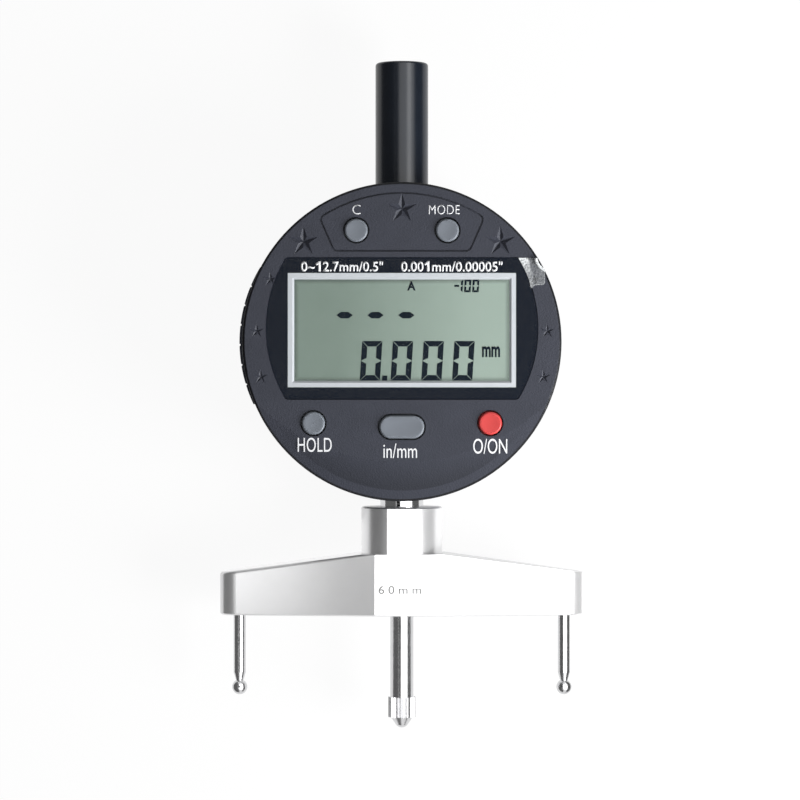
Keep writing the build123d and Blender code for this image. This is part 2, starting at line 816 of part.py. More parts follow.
# Moving scale, glued on the carrier's plate
with BuildPart() as scale_strip:
    with BuildSketch(level(track_top)):
        with Locations((0, carrier_y + scale_margin)):
            Rectangle(
                track_w - 2 * scale_margin,
                track_len - 2 * scale_margin,
                align=(Align.CENTER, Align.MIN),
            )
    extrude(amount=scale_thk)
save(scale_strip, "scale_strip")

# Fixed sensor board, laid from one guide block to the other over the moving scale
with BuildPart() as sensor_board:
    with BuildSketch(level(sensor_bottom)):
        Rectangle(sensor_w, sensor_len)
        for side in (-1, 1):
            with Locations((side * small_screw_x, side * (block_face + sensor_lap / 2))):
                Circle(small_screw_dia / 2 + drop_fit, mode=Mode.SUBTRACT)
    extrude(amount=sensor_thk)
save(sensor_board, "sensor_board")

# Screws of the sensor board
with BuildPart() as sensor_screws:
    for side in (-1, 1):
        spot = (side * small_screw_x, side * (block_face + sensor_lap / 2))
        with BuildSketch(level(sensor_top)):
            with Locations(spot):
                Circle(small_screw_head_dia / 2)
        extrude(amount=small_screw_head_h)
        with BuildSketch(level(sensor_top)):
            with Locations(spot):
                Circle(small_screw_dia / 2)
        extrude(amount=press_gap - small_screw_len)
save(sensor_screws, "sensor_screws")

# Pin strip that joins the sensor board to the circuit board
with BuildPart() as board_link:
    with BuildSketch(level(sensor_top)):
        with Locations((0, -block_face)):
            Rectangle(link_w, link_len)
    extrude(amount=board_bottom - sensor_top)
save(board_link, "board_link")

# Spring that pushes the spindle down, between the carrier and the upper guide block
with BuildPart() as return_spring:
    spring_len = block_face - carrier_top_y - spring_wire - 2 * spring_gap
    with BuildLine() as coil:
        Helix(
            pitch=spring_len / spring_turns,
            height=spring_len,
            radius=(spring_dia - spring_wire) / 2,
            center=(0, carrier_top_y + spring_wire / 2 + spring_gap, axis_z),
            direction=(0, 1, 0),
        )
    with BuildSketch(Plane(origin=coil.line @ 0, z_dir=coil.line % 0)):
        RegularPolygon(spring_wire / 2, spring_wire_sides)
    sweep(is_frenet=True)
save(return_spring, "return_spring")

# Battery drawer: a tray for the cell behind a ribbed grip that follows the case
with BuildPart() as battery_drawer:
    grip_turn = 180 - grip_angle
    notch_turn = degrees(grip_notch_pitch / grip_bulge_r)
    notch_side = grip_notch_depth * sqrt(2)
    with BuildSketch(level(axis_z - grip_h / 2)) as grip:
        with PolarLocations(grip_outer_r - grip_bulge_r, 1, start_angle=grip_turn):
            Circle(grip_bulge_r)
        Circle(grip_inner_r, mode=Mode.SUBTRACT)
        with BuildLine():
            reach = 2 * grip_outer_r
            Polyline(
                (0, 0),
                (
                    reach * cos(radians(grip_turn - grip_half_angle)),
                    reach * sin(radians(grip_turn - grip_half_angle)),
                ),
                (
                    reach * cos(radians(grip_turn + grip_half_angle)),
                    reach * sin(radians(grip_turn + grip_half_angle)),
                ),
                close=True,
            )
        make_face(mode=Mode.INTERSECT)
        with PolarLocations(grip_outer_r - grip_bulge_r, 1, start_angle=grip_turn):
            with PolarLocations(
                grip_bulge_r,
                grip_notches,
                start_angle=-notch_turn * (grip_notches - 1) / 2,
                angular_range=notch_turn * grip_notches,
            ):
                Rectangle(notch_side, notch_side, rotation=45, mode=Mode.SUBTRACT)
    extrude(amount=grip_h)
    with BuildSketch(level(tray_bottom)):
        with Locations((tray_inner_x, drawer_y)):
            Rectangle(tray_inner_x + 2 * rear_r, tray_w, align=(Align.MAX, Align.CENTER))
        Circle(tray_end_r, mode=Mode.INTERSECT)
    extrude(amount=tray_h)
    with BuildSketch(level(tray_bottom + tray_floor)):
        with Locations((cell_x, drawer_y)):
            Circle(cell_dia / 2 + tray_fit)
    extrude(amount=tray_h, mode=Mode.SUBTRACT)
    # Slot in the floor for the contact leaf
    with BuildSketch(level(tray_bottom)):
        with Locations((cell_x - cell_dia / 4, drawer_y)):
            Rectangle(cell_dia, leaf_slot_w, align=(Align.MIN, Align.CENTER))
    extrude(amount=tray_floor, mode=Mode.SUBTRACT)
save(battery_drawer, "battery_drawer")

# Button cell, with its stepped lower cup
with BuildPart() as button_cell:
    with BuildSketch(level(cell_bottom)):
        with Locations((cell_x, drawer_y)):
            Circle(cell_dia / 2 - tray_wall)
    extrude(amount=tray_wall)
    with BuildSketch(level(cell_bottom + tray_wall)):
        with Locations((cell_x, drawer_y)):
            Circle(cell_dia / 2)
    extrude(amount=cell_h - tray_wall)
    chamfer(button_cell.edges().group_by(Axis.Z)[-1], leaf_thk)
save(button_cell, "button_cell")

# Contact leaves of the cell, both standing from the circuit board
with BuildPart() as battery_contacts:
    lower_leaf_z = tray_bottom + tray_floor - slide_fit - leaf_thk
    upper_leaf_z = tray_bottom + tray_h + slide_fit
    leaf_reach = cell_dia / 2
    low_end_x = bay_inner_x + slide_fit
    with BuildSketch(level(lower_leaf_z)):
        with Locations((low_end_x + leaf_thk, drawer_y)):
            Rectangle(leaf_reach, leaf_w, align=(Align.MAX, Align.CENTER))
    extrude(amount=leaf_thk)
    with BuildSketch(level(lower_leaf_z)):
        with Locations((low_end_x, drawer_y)):
            Rectangle(leaf_thk, leaf_w, align=(Align.MIN, Align.CENTER))
    extrude(amount=board_bottom - lower_leaf_z)
    with BuildSketch(level(upper_leaf_z)):
        with Locations((low_end_x, drawer_y + leaf_w + slide_fit)):
            Rectangle(leaf_reach, leaf_w, align=(Align.MAX, Align.CENTER))
    extrude(amount=leaf_thk)
    with BuildSketch(level(upper_leaf_z)):
        with Locations((low_end_x, drawer_y + leaf_w + slide_fit)):
            Rectangle(leaf_thk, leaf_w, align=(Align.MAX, Align.CENTER))
    extrude(amount=board_bottom - upper_leaf_z)
save(battery_contacts, "battery_contacts")

# Bridge: a round boss on two tapering arms, flat in front and behind
with BuildPart() as bridge:
    with BuildSketch(across(bridge_bottom_y)):
        with Locations((-pin_span / 2, 0), (pin_span / 2, 0)):
            Circle(arm_end_r)
        Rectangle(2 * flat_half_w, 2 * bridge_half_depth)
        make_hull()
    extrude(amount=bridge_h - boss_h)
    with BuildSketch(level(axis_z)):
        with BuildLine():
            arm_end_y = bridge_bottom_y + arm_end_h
            Polyline(
                (-arm_end_x, bridge_bottom_y),
                (arm_end_x, bridge_bottom_y),
                (arm_end_x, arm_end_y),
                (boss_dia / 2, shoulder_y),
                (-boss_dia / 2, shoulder_y),
                (-arm_end_x, arm_end_y),
                close=True,
            )
        make_face()
    extrude(amount=2 * bridge_half_depth, both=True, mode=Mode.INTERSECT)
    outer_ends = bridge.edges().filter_by(GeomType.LINE, reverse=True)
    fillet(outer_ends.group_by(Axis.Y)[-1], corner_round)
    chamfer(bridge.faces().sort_by(Axis.Y)[0].edges(), edge_break)
    with BuildSketch(across(shoulder_y - edge_break)):
        Circle(boss_dia / 2)
        Rectangle(boss_dia, 2 * bridge_half_depth, mode=Mode.INTERSECT)
    extrude(amount=boss_h + edge_break)
    chamfer(bridge.faces().sort_by(Axis.Y)[-1].edges(), edge_break)
    # Bores for the stem, the spindle and the pins, and the clamping screw's hole behind
    with BuildSketch(across(boss_top_y)):
        Circle(stem_dia / 2 + press_gap)
    extrude(amount=stem_end_y - stem_end_gap - boss_top_y, mode=Mode.SUBTRACT)
    with BuildSketch(across(bridge_bottom_y)):
        Circle(spindle_dia / 2 + spindle_hole_gap)
    extrude(amount=bridge_h - boss_h, mode=Mode.SUBTRACT)
    with BuildSketch(across(bridge_bottom_y)):
        with Locations((-pin_span / 2, 0), (pin_span / 2, 0)):
            Circle(pin_dia / 2 + press_gap)
    extrude(amount=pin_seat + press_gap, mode=Mode.SUBTRACT)
    with BuildSketch(Plane(origin=(0, grub_y, axis_z - bridge_half_depth))):
        Circle(grub_dia / 2 + press_gap)
    extrude(amount=bridge_half_depth, mode=Mode.SUBTRACT)
save(bridge, "bridge")

# Clamping screw with a hexagon socket, behind the boss
with BuildPart() as clamp_screw:
    grub_top = axis_z - stem_dia / 2 - grub_gap
    with BuildSketch(Plane(origin=(0, grub_y, grub_top - grub_len))):
        Circle(grub_dia / 2)
    extrude(amount=grub_len)
    with BuildSketch(Plane(origin=(0, grub_y, grub_top - grub_len))):
        RegularPolygon(grub_socket / 2, 6, major_radius=False)
    extrude(amount=grub_len / 2, mode=Mode.SUBTRACT)
save(clamp_screw, "clamp_screw")

# Ball-ended pins
for name, side in (("left_pin", -1), ("right_pin", 1)):
    with BuildPart() as ball_pin:
        with BuildSketch(Plane(origin=(side * pin_span / 2, 0, axis_z))):
            with BuildLine():
                neck_y = neck_start_y - pin_neck_len
                Polyline(
                    (0, ball_y),
                    (0, bridge_bottom_y + pin_seat),
                    (pin_dia / 2, bridge_bottom_y + pin_seat),
                    (pin_dia / 2, neck_start_y),
                    (neck_narrow_dia / 2, neck_y),
                    (neck_narrow_dia / 2, ball_y),
                    close=True,
                )
            make_face()
        revolve(axis=Axis((side * pin_span / 2, 0, axis_z), (0, 1, 0)))
        with Locations((side * pin_span / 2, ball_y, axis_z)):
            Sphere(ball_r)
    save(ball_pin, name)
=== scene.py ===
"""Looks of a digital radius gauge.

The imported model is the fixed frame: the gauge lies on its back with the display up, in metres.
Every piece gets its finish here, and the keys, the cap, the lens, the film, the spring, the print
and the display's characters are modelled around the frame.
"""

import logging
from abc import ABC, abstractmethod
from collections.abc import Callable, Iterable
from dataclasses import dataclass
from enum import Enum
from math import cos, pi, radians, sin

import bpy
from bpy.types import Material, Node, NodeSocket, Object, World
from mathutils import Euler, Matrix, Vector


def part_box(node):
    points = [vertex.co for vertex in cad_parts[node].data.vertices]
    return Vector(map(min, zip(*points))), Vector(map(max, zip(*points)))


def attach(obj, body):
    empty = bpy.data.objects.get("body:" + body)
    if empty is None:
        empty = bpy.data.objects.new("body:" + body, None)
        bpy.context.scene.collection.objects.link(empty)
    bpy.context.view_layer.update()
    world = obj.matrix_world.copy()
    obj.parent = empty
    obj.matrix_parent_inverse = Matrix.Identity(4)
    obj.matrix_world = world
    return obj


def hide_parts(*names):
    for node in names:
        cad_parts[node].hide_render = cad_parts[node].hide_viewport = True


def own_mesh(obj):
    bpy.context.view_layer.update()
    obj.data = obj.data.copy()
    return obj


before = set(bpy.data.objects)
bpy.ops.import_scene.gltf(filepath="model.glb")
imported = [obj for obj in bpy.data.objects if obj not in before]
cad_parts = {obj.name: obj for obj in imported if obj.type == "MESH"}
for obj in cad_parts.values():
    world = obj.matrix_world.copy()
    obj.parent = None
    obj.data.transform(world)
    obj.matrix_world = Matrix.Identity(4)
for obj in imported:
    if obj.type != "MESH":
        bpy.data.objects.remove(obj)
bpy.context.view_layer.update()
MM = 0.001
FLAGGED_ONE = chr(0x1D7ED)  # the default font's own 1 has no flag
FACING = 0.9  # a face looks along an axis if its normal has this share of it
LEVEL = 0.99  # and it is level with more than this
Color = tuple[float, float, float]
Point = tuple[float, float]
Place = tuple[float, float, float]
Value = float | Iterable[float] | NodeSocket
Inputs = dict[str | int, Value]
log = logging.getLogger("radius_gauge")


def select(piece: Object) -> None:
    """Make a piece the only one selected, and the active one.

    Args:
        piece: The object to work on.
    """
    bpy.ops.object.select_all(action="DESELECT")
    piece.select_set(True)
    bpy.context.view_layer.objects.active = piece


def rename(piece: Object, name: str) -> Object:
    """Name a piece and its data."""
    piece.name = piece.data.name = name
    return piece


def place(piece: Object, name: str) -> Object:
    """Name a new piece and move its place into its mesh.

    Args:
        piece: The new object.
        name: Its name in the table of pieces.

    Returns:
        The same object, at the origin.
    """
    select(piece)
    bpy.ops.object.transform_apply(location=True, rotation=True, scale=True)
    return rename(piece, name)


def added(name: str) -> Object:
    """Name the piece that was just added and move its place into its mesh."""
    return place(bpy.context.active_object, name)


def pick(piece: Object, kind: str, rule: Callable[[bpy.types.MeshPolygon | Vector], bool]) -> None:
    """Enter edit mode with only the faces or points that meet a rule selected.

    Args:
        piece: The active mesh object.
        kind: FACE or VERT.
        rule: Tells of a face, or of a point's place, whether it is wanted.
    """
    bpy.ops.object.mode_set(mode="EDIT")
    bpy.ops.mesh.select_mode(type=kind)
    bpy.ops.mesh.select_all(action="DESELECT")
    bpy.ops.object.mode_set(mode="OBJECT")
    if kind == "FACE":
        for face in piece.data.polygons:
            face.select = rule(face)
    else:
        for point in piece.data.vertices:
            point.select = rule(point.co)
    bpy.ops.object.mode_set(mode="EDIT")


def smooth(piece: Object, degrees: float = 35.0) -> None:
    """Leave edit mode and shade a piece smooth up to an angle.

    Args:
        piece: The active mesh object.
        degrees: Edges sharper than this stay sharp.
    """
    if bpy.context.mode != "OBJECT":
        bpy.ops.object.mode_set(mode="OBJECT")
    select(piece)
    bpy.ops.object.shade_smooth_by_angle(angle=radians(degrees))


def apply_modifiers(piece: Object) -> None:
    """Apply all modifiers of a piece, in order.

    Args:
        piece: The object that has them.
    """
    bpy.context.view_layer.objects.active = piece
    for modifier in list(piece.modifiers):
        bpy.ops.object.modifier_apply(modifier=modifier.name)


def thicken(piece: Object, thickness: float) -> Object:
    """Give a flat piece a thickness.

    Args:
        piece: A flat piece that faces up.
        thickness: How far it grows upwards.

    Returns:
        The same piece.
    """
    piece.modifiers.new("thickness", "SOLIDIFY").thickness = -thickness
    apply_modifiers(piece)
    return piece


def copy_to(piece: Object, name: str, shift: Vector) -> Object:
    """Copy a piece with a mesh of its own.

    Args:
        piece: The piece that is modelled once.
        name: The copy's name.
        shift: From the piece to the copy.

    Returns:
        The copy, at the origin.
    """
    copy = piece.copy()
    copy.data = piece.data.copy()
    copy.data.transform(Matrix.Translation(shift))
    bpy.context.scene.collection.objects.link(copy)
    return rename(copy, name)


def solid(color: Iterable[float]) -> Iterable[float]:
    """Add full opacity to a colour."""
    return (*color, 1.0)


class Tree:
    """The node tree of a material or of the surround, and short ways to fill it."""

    def __init__(self, owner: Material | World) -> None:
        """Open the owner's tree."""
        owner.use_nodes = True
        self.nodes, self.links = owner.node_tree.nodes, owner.node_tree.links

    def feed(self, node: Node, values: Inputs) -> Node:
        """Set a node's inputs, or link sockets to them.

        Args:
            node: The node.
            values: What goes into each input.

        Returns:
            The same node.
        """
        for key, value in values.items():
            if isinstance(value, NodeSocket):
                self.links.new(value, node.inputs[key])
            else:
                node.inputs[key].default_value = value
        return node

    def add(
        self, kind: str, values: Inputs, output: str | int = 0, **settings: str | bool
    ) -> NodeSocket:
        """Add a node.

        Args:
            kind: What follows ShaderNode in the name of its type.
            values: What goes into each input.
            output: The output that is wanted.
            settings: The node's own settings.

        Returns:
            That output.
        """
        node = self.nodes.new("ShaderNode" + kind)
        for name, setting in settings.items():
            setattr(node, name, setting)
        return self.feed(node, values).outputs[output]

    def math(self, operation: str, *values: Value, **settings: bool) -> NodeSocket:
        """Work out a value from others."""
        return self.add("Math", dict(enumerate(values)), operation=operation, **settings)

    def ramp(self, value: Value, *ends: float, **settings: str) -> NodeSocket:
        """Turn a value that runs between two ends into one between two others, or 0 and 1."""
        inputs = dict(zip(("From Min", "From Max", "To Min", "To Max"), ends))
        return self.add("MapRange", {"Value": value, **inputs}, **settings)

    def mix(self, factor: Value, first: Value, second: Value) -> NodeSocket:
        """Blend two colours."""
        values = {"Factor": factor, "A": first, "B": second}
        return self.add("Mix", values, "Result", data_type="RGBA")

    def noise(self, spot: NodeSocket, size: float, detail: float = 2.0) -> NodeSocket:
        """Give a noise with blobs of a size."""
        return self.add("TexNoise", {"Vector": spot, "Scale": 1 / size, "Detail": detail}, "Fac")

    def bump(self, height: NodeSocket, distance: float) -> NodeSocket:
        """Turn a height into a relief."""
        return self.add("Bump", {"Height": height, "Distance": distance}, "Normal")

    def axes(self, spot: NodeSocket) -> Iterable[NodeSocket]:
        """Take a place apart along X, Y and Z."""
        return tuple(self.add("SeparateXYZ", {"Vector": spot}).node.outputs)


class Grain(Enum):
    """How the fine relief of a surface is stretched along X, Y and Z."""

    MOULDED = (1.0, 1.0, 1.0)
    TURNED = (0.05, 1.0, 0.05)
    DRAWN = (1.0, 0.03, 1.0)


@dataclass(frozen=True)
class Surface(ABC):
    """A finish that goes by a name. Each kind says what feeds its shader."""

    name: str

    def build(self) -> Material:
        """Make the node material.

        Returns:
            The material, on Object coordinates.
        """
        material = bpy.data.materials.new(self.name)
        tree = Tree(material)
        spot = tree.add("TexCoord", {}, "Object")
        tree.feed(tree.nodes["Principled BSDF"], self.inputs(tree, spot))
        return material

    @abstractmethod
    def inputs(self, tree: Tree, spot: NodeSocket) -> Inputs:
        """Work out what goes into the shader.

        Args:
            tree: The material's node tree.
            spot: A point's place on the piece.

        Returns:
            What goes into each input.
        """


@dataclass(frozen=True)
class Finish(Surface):
    """A surface: its colour, its gloss and the fine relief that breaks its highlight.

    grain_mm is the size of the relief's bumps and relief_mm their height. shade is how far the
    colour varies over the surface, and wander how far the roughness does, both in patches that
    are coarser than the relief by broad. specular is the strength of a plain gloss, 0.5 being
    that of bare plastic.
    """

    color: Color
    roughness: float
    metallic: float = 0.0
    ior: float = 1.5
    specular: float = 0.5
    alpha: float = 1.0
    grain: Grain = Grain.MOULDED
    grain_mm: float = 0.3
    relief_mm: float = 0.004
    relief_detail: float = 3.0
    shade: float = 0.06
    wander: float = 0.05
    broad: float = 1 / 0.06

    def inputs(self, tree: Tree, spot: NodeSocket) -> Inputs:
        """Work out what goes into the shader.

        Args:
            tree: The material's node tree.
            spot: A point's place on the piece.

        Returns:
            What goes into each input.
        """
        spot_on_grain = tree.add("Mapping", {"Vector": spot, "Scale": self.grain.value})
        fine = tree.noise(spot_on_grain, self.grain_mm * MM, self.relief_detail)
        patches = tree.noise(spot_on_grain, self.grain_mm * MM * self.broad)
        gloss = (max(self.roughness - self.wander, 0.0), min(self.roughness + self.wander, 1.0))
        return {
            "Base Color": self.tone(tree, spot, patches),
            "Metallic": self.metallic,
            "IOR": self.ior,
            "Alpha": self.alpha,
            "Specular IOR Level": self.specular,
            "Roughness": tree.ramp(patches, 0.0, 1.0, *gloss),
            "Normal": tree.bump(fine, self.relief_mm * MM),
        }

    def tone(self, tree: Tree, spot: NodeSocket, patches: NodeSocket) -> NodeSocket:
        """Give the colour, which varies from patch to patch.

        Args:
            tree: The material's node tree.
            spot: A point's place on the piece.
            patches: A broad noise.

        Returns:
            The colour.
        """
        dark = [c * (1 - self.shade) for c in self.color]
        pale = [min(c * (1 + self.shade), 1.0) for c in self.color]
        return tree.mix(patches, solid(dark), solid(pale))


@dataclass(frozen=True)
class MetalFinish(Finish):
    """Bare metal."""

    metallic: float = 1.0
    relief_mm: float = 0.003


@dataclass(frozen=True)
class TurnedFinish(MetalFinish):
    """Bare metal that was turned, with its marks round the spindle's axis."""

    grain: Grain = Grain.TURNED
    grain_mm: float = 0.08
    relief_mm: float = 0.001


@dataclass(frozen=True)
class ShellFinish(Finish):
    """Moulded case plastic, with painted shade on its round rim and at the lower crescent's foot.
    """

    face_level: float = 25.0 * MM
    # painted shade on the round rim: past rim_r and down to rim_depth, the colour falls to
    # rim_shade_share
    rim_r: float = 28.28 * MM
    rim_fade: float = 0.12 * MM
    rim_depth: float = 1.6 * MM
    rim_shade_share: float = 0.15
    # painted shade over the lower crescent, between crescent_from and crescent_to about a point
    # crescent_y up
    crescent_y: float = 15.7 * MM
    crescent_from: float = 37.4 * MM
    crescent_to: float = 41.8 * MM
    crescent_shade_share: float = 0.62
    band_r: float = 26.75 * MM

    def tone(self, tree: Tree, spot: NodeSocket, patches: NodeSocket) -> NodeSocket:
        """Give the colour, with painted shade on the rim and on the crescent.

        Args:
            tree: The material's node tree.
            spot: A point's place on the piece.
            patches: A broad noise.

        Returns:
            The colour.
        """
        tone = super().tone(tree, spot, patches)
        x, y, z = tree.axes(spot)
        reach = self.reach(tree, x, y)
        # painted shade: mask of the round rim
        outer = tree.ramp(reach, self.rim_r, self.rim_r + self.rim_fade)
        rim = self.above(tree, z, self.rim_depth, outer)
        # painted shade: mask of the crescent, darkest at its foot, stopping at the rim band
        arc = self.reach(tree, x, tree.math("SUBTRACT", y, self.crescent_y))
        fall = tree.ramp(arc, self.crescent_from, self.crescent_to)
        within = tree.ramp(reach, self.band_r + self.rim_fade, self.band_r)
        crescent = self.above(tree, z, self.rim_depth / 2, tree.math("MULTIPLY", fall, within))
        # mix in the painted shade of the crescent and of the rim
        for mask, share in ((crescent, self.crescent_shade_share), (rim, self.rim_shade_share)):
            tone = tree.mix(mask, tone, solid([c * share for c in self.color]))
        return tone

    def reach(self, tree: Tree, x: NodeSocket, y: NodeSocket) -> NodeSocket:
        """Give the length of a line on the face."""
        line = tree.add("CombineXYZ", {"X": x, "Y": y})
        return tree.add("VectorMath", {0: line}, "Value", operation="LENGTH")

    def above(self, tree: Tree, z: NodeSocket, depth: float, mask: NodeSocket) -> NodeSocket:
        """Keep a mask only above a level that lies some depth under the face."""
        level = self.face_level - depth
        return tree.math("MULTIPLY", mask, tree.ramp(z, level, level + self.rim_fade))


@dataclass(frozen=True)
class CrystalFinish(Surface):
    """Liquid crystal cell: grey-green, paler towards one end, with the bezel's shadow painted along
    its edges.
    """

    name: str = "liquid_crystal"
    left: Color = (0.204, 0.274, 0.230)
    right: Color = (0.350, 0.446, 0.385)
    pale_from: float = -11.5 * MM
    pale_to: float = 15.0 * MM
    mottle_mm: float = 2.6
    mottle: float = 0.14
    middle_y: float = 2.06 * MM
    # painted shadow of the bezel along the window's edges
    edge_x: float = 19.3 * MM
    edge_y: float = 9.1 * MM
    bezel_shadow_width: float = 0.9 * MM
    bezel_shadow_share: float = 0.55
    roughness: float = 0.32

    def inputs(self, tree: Tree, spot: NodeSocket) -> Inputs:
        """Work out what goes into the shader.

        Args:
            tree: The material's node tree.
            spot: A point's place on the piece.

        Returns:
            What goes into each input.
        """
        x, y, _ = tree.axes(spot)
        across = tree.ramp(x, self.pale_from, self.pale_to)
        mottle = tree.noise(spot, self.mottle_mm * MM)
        share = tree.math("MULTIPLY_ADD", mottle, self.mottle, across)
        tone = tree.mix(share, solid(self.left), solid(self.right))
        # painted shadow of the bezel: darker towards the window's edges
        height = tree.math("ABSOLUTE", tree.math("SUBTRACT", y, self.middle_y))
        width = tree.math("SUBTRACT", tree.math("ABSOLUTE", x), self.edge_x - self.edge_y)
        away = tree.math("MAXIMUM", height, width)
        spans = (self.edge_y - self.bezel_shadow_width, self.edge_y, 1.0, self.bezel_shadow_share)
        edge = tree.ramp(away, *spans, interpolation_type="SMOOTHSTEP")
        bezel_shadowed = tree.add("VectorMath", {0: tone, "Scale": edge}, "Vector", operation="SCALE")
        return {"Base Color": bezel_shadowed, "Roughness": self.roughness}


@dataclass(frozen=True)
class FilmFinish(Surface):
    """Clear film with blobs of relief.

    alpha says how much of it shows. Where it has come loose, cover names the mesh's attribute
    that says so instead, and the blobs break it up: their span goes from least to most.
    """

    color: Color
    roughness: float
    blob_mm: float
    relief_mm: float
    alpha: float = 1.0
    cover: str = ""
    detail: float = 2.0
    span: Point = (0.35, 0.65)
    least: float = 0.40
    most: float = 1.50

    def inputs(self, tree: Tree, spot: NodeSocket) -> Inputs:
        """Work out what goes into the shader.

        Args:
            tree: The material's node tree.
            spot: A point's place on the piece.

        Returns:
            What goes into each input.
        """
        alpha = self.alpha
        blobs = tree.noise(spot, self.blob_mm * MM, self.detail)
        if self.cover:
            cover = tree.add("Attribute", {}, "Fac", attribute_name=self.cover)
            share = tree.ramp(blobs, *self.span, self.least, self.most)
            alpha = tree.math("MULTIPLY", cover, share, use_clamp=True)
        return {
            "Base Color": solid(self.color),
            "Alpha": alpha,
            "Roughness": self.roughness,
            "Normal": tree.bump(blobs, self.relief_mm * MM),
        }


@dataclass(frozen=True)
class StripedFinish(Surface):
    """Bars in rows along one axis, of metal on a ground."""

    metal: Color
    ground: Color
    pitch_mm: float
    along: str = "Y"
    wave_scale: float = 0.314
    roughness: float = 0.35

    def inputs(self, tree: Tree, spot: NodeSocket) -> Inputs:
        """Work out what goes into the shader.

        Args:
            tree: The material's node tree.
            spot: A point's place on the piece.

        Returns:
            What goes into each input.
        """
        scale = self.wave_scale / (self.pitch_mm * MM)
        wave = {"Vector": spot, "Scale": scale}
        bars = tree.add("TexWave", wave, "Fac", bands_direction=self.along)
        edge = tree.math("GREATER_THAN", bars, 0.5)
        tone = tree.mix(edge, solid(self.ground), solid(self.metal))
        return {"Base Color": tone, "Roughness": self.roughness, "Metallic": edge}


CASE_PLASTIC = ShellFinish(
    "case_plastic", (0.036, 0.039, 0.052), 0.48, specular=0.15, relief_mm=0.055, shade=0.16
)
KEY_GREY = Finish(
    "key_grey", (0.150, 0.167, 0.193), 0.42, specular=0.28, grain_mm=0.25, relief_mm=0.006
)
KEY_RED = Finish("key_red", (0.55, 0.048, 0.046), 0.40, specular=0.28, grain_mm=0.25)
CAP_BLACK = Finish(
    "cap_black", (0.006, 0.009, 0.015), 0.24, ior=1.44, grain_mm=0.2, relief_mm=0.006
)
PANEL_BLACK = Finish(
    "panel_black", (0.003, 0.006, 0.013), 0.07,
    specular=0.06, grain_mm=1.5, relief_mm=0.0004, wander=0.02,
)
BEZEL_SILVER = Finish("bezel_silver", (0.48, 0.505, 0.535), 0.42, metallic=0.1, grain_mm=0.2)
CLEAR_LENS = Finish(
    "clear_lens", (0.02, 0.02, 0.02), 0.03, specular=0.1, alpha=0.04, relief_mm=0.0, wander=0.01
)
BRIDGE_ALUMINIUM = Finish(
    "bridge_aluminium", (0.76, 0.76, 0.765), 0.28,
    metallic=0.74, grain_mm=0.16, relief_mm=0.008, shade=0.02, wander=0.0,
)
GROUND_STEEL = TurnedFinish(
    "ground_steel", (0.66, 0.66, 0.67), 0.20, grain_mm=0.06, relief_mm=0.0006
)
POLISHED_STEEL = TurnedFinish("polished_steel", (0.70, 0.70, 0.71), 0.12, relief_mm=0.0003)
BRASS = TurnedFinish("brass", (0.68, 0.47, 0.20), 0.24)
BOARD_GREEN = Finish("board_green", (0.020, 0.130, 0.050), 0.30, grain_mm=0.6, shade=0.25)
BLACK_PLASTIC = Finish("black_plastic", (0.022, 0.022, 0.024), 0.50, grain_mm=0.25, relief_mm=0.006)
STRIP_RUBBER = StripedFinish("strip_rubber", (0.03, 0.03, 0.03), (0.42, 0.42, 0.44), 0.18, "X")
SCALE_COPPER = StripedFinish("scale_copper", (0.80, 0.45, 0.25), (0.03, 0.09, 0.05), 0.9)
ZINC_STEEL = MetalFinish("zinc_steel", (0.56, 0.57, 0.59), 0.28, grain_mm=0.2)
BLACK_STEEL = Finish("black_steel", (0.03, 0.03, 0.032), 0.38, metallic=0.5, grain_mm=0.15)
CELL_STEEL = MetalFinish("cell_steel", (0.66, 0.66, 0.65), 0.22, relief_mm=0.002)
SPRING_STEEL = MetalFinish("spring_steel", (0.48, 0.48, 0.49), 0.25, grain_mm=0.1, relief_mm=0.001)
CARRIER_METAL = MetalFinish(
    "carrier_metal", (0.66, 0.67, 0.68), 0.32, grain=Grain.DRAWN, grain_mm=0.1
)
WHITE_PRINT = Finish("white_print", (0.82, 0.83, 0.85), 0.50, relief_mm=0.001, shade=0.02)
SEGMENT_DARK = Finish(
    "segment_dark", (0.006, 0.012, 0.020), 0.60,
    specular=0.05, grain_mm=0.5, relief_mm=0.0, shade=0.05,
)
ENGRAVING = Finish("engraving", (0.16, 0.16, 0.16), 0.55, specular=0.2, grain_mm=0.1)
LIQUID_CRYSTAL = CrystalFinish()
FILM_ON_PANEL = FilmFinish("film_on_panel", (0.86, 0.87, 0.88), 0.06, 6.0, 0.02, alpha=0.0015)
FILM_LIFTED = FilmFinish(
    "film_lifted", (0.68, 0.705, 0.715), 0.25, 0.36, 0.12, cover="cover", detail=2.5
)


class Wardrobe:
    """Builds each finish once and puts it on pieces."""

    def __init__(self) -> None:
        """Start with no material made."""
        self.made: dict[str, Material] = {}

    def material(self, finish: Surface) -> Material:
        """Give a finish's material, made on its first use.

        Args:
            finish: One of the finishes above.

        Returns:
            Its material.
        """
        if finish.name not in self.made:
            self.made[finish.name] = finish.build()
        return self.made[finish.name]

    def dress(self, piece: Object, finish: Surface) -> None:
        """Put a finish all over a piece.

        Args:
            piece: A new piece or a CAD node.
            finish: One of the finishes above.
        """
        if not piece.data.materials:
            piece.data.materials.append(None)
        for slot in piece.material_slots:
            slot.material = self.material(finish)
        log.info("dressed %s in %s", piece.name, finish.name)

    def dress_nodes(self, finish: Surface, *names: str) -> None:
        """Put a finish on CAD nodes.

        Args:
            finish: One of the finishes above.
            names: The nodes.
        """
        for name in names:
            self.dress(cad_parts[name], finish)


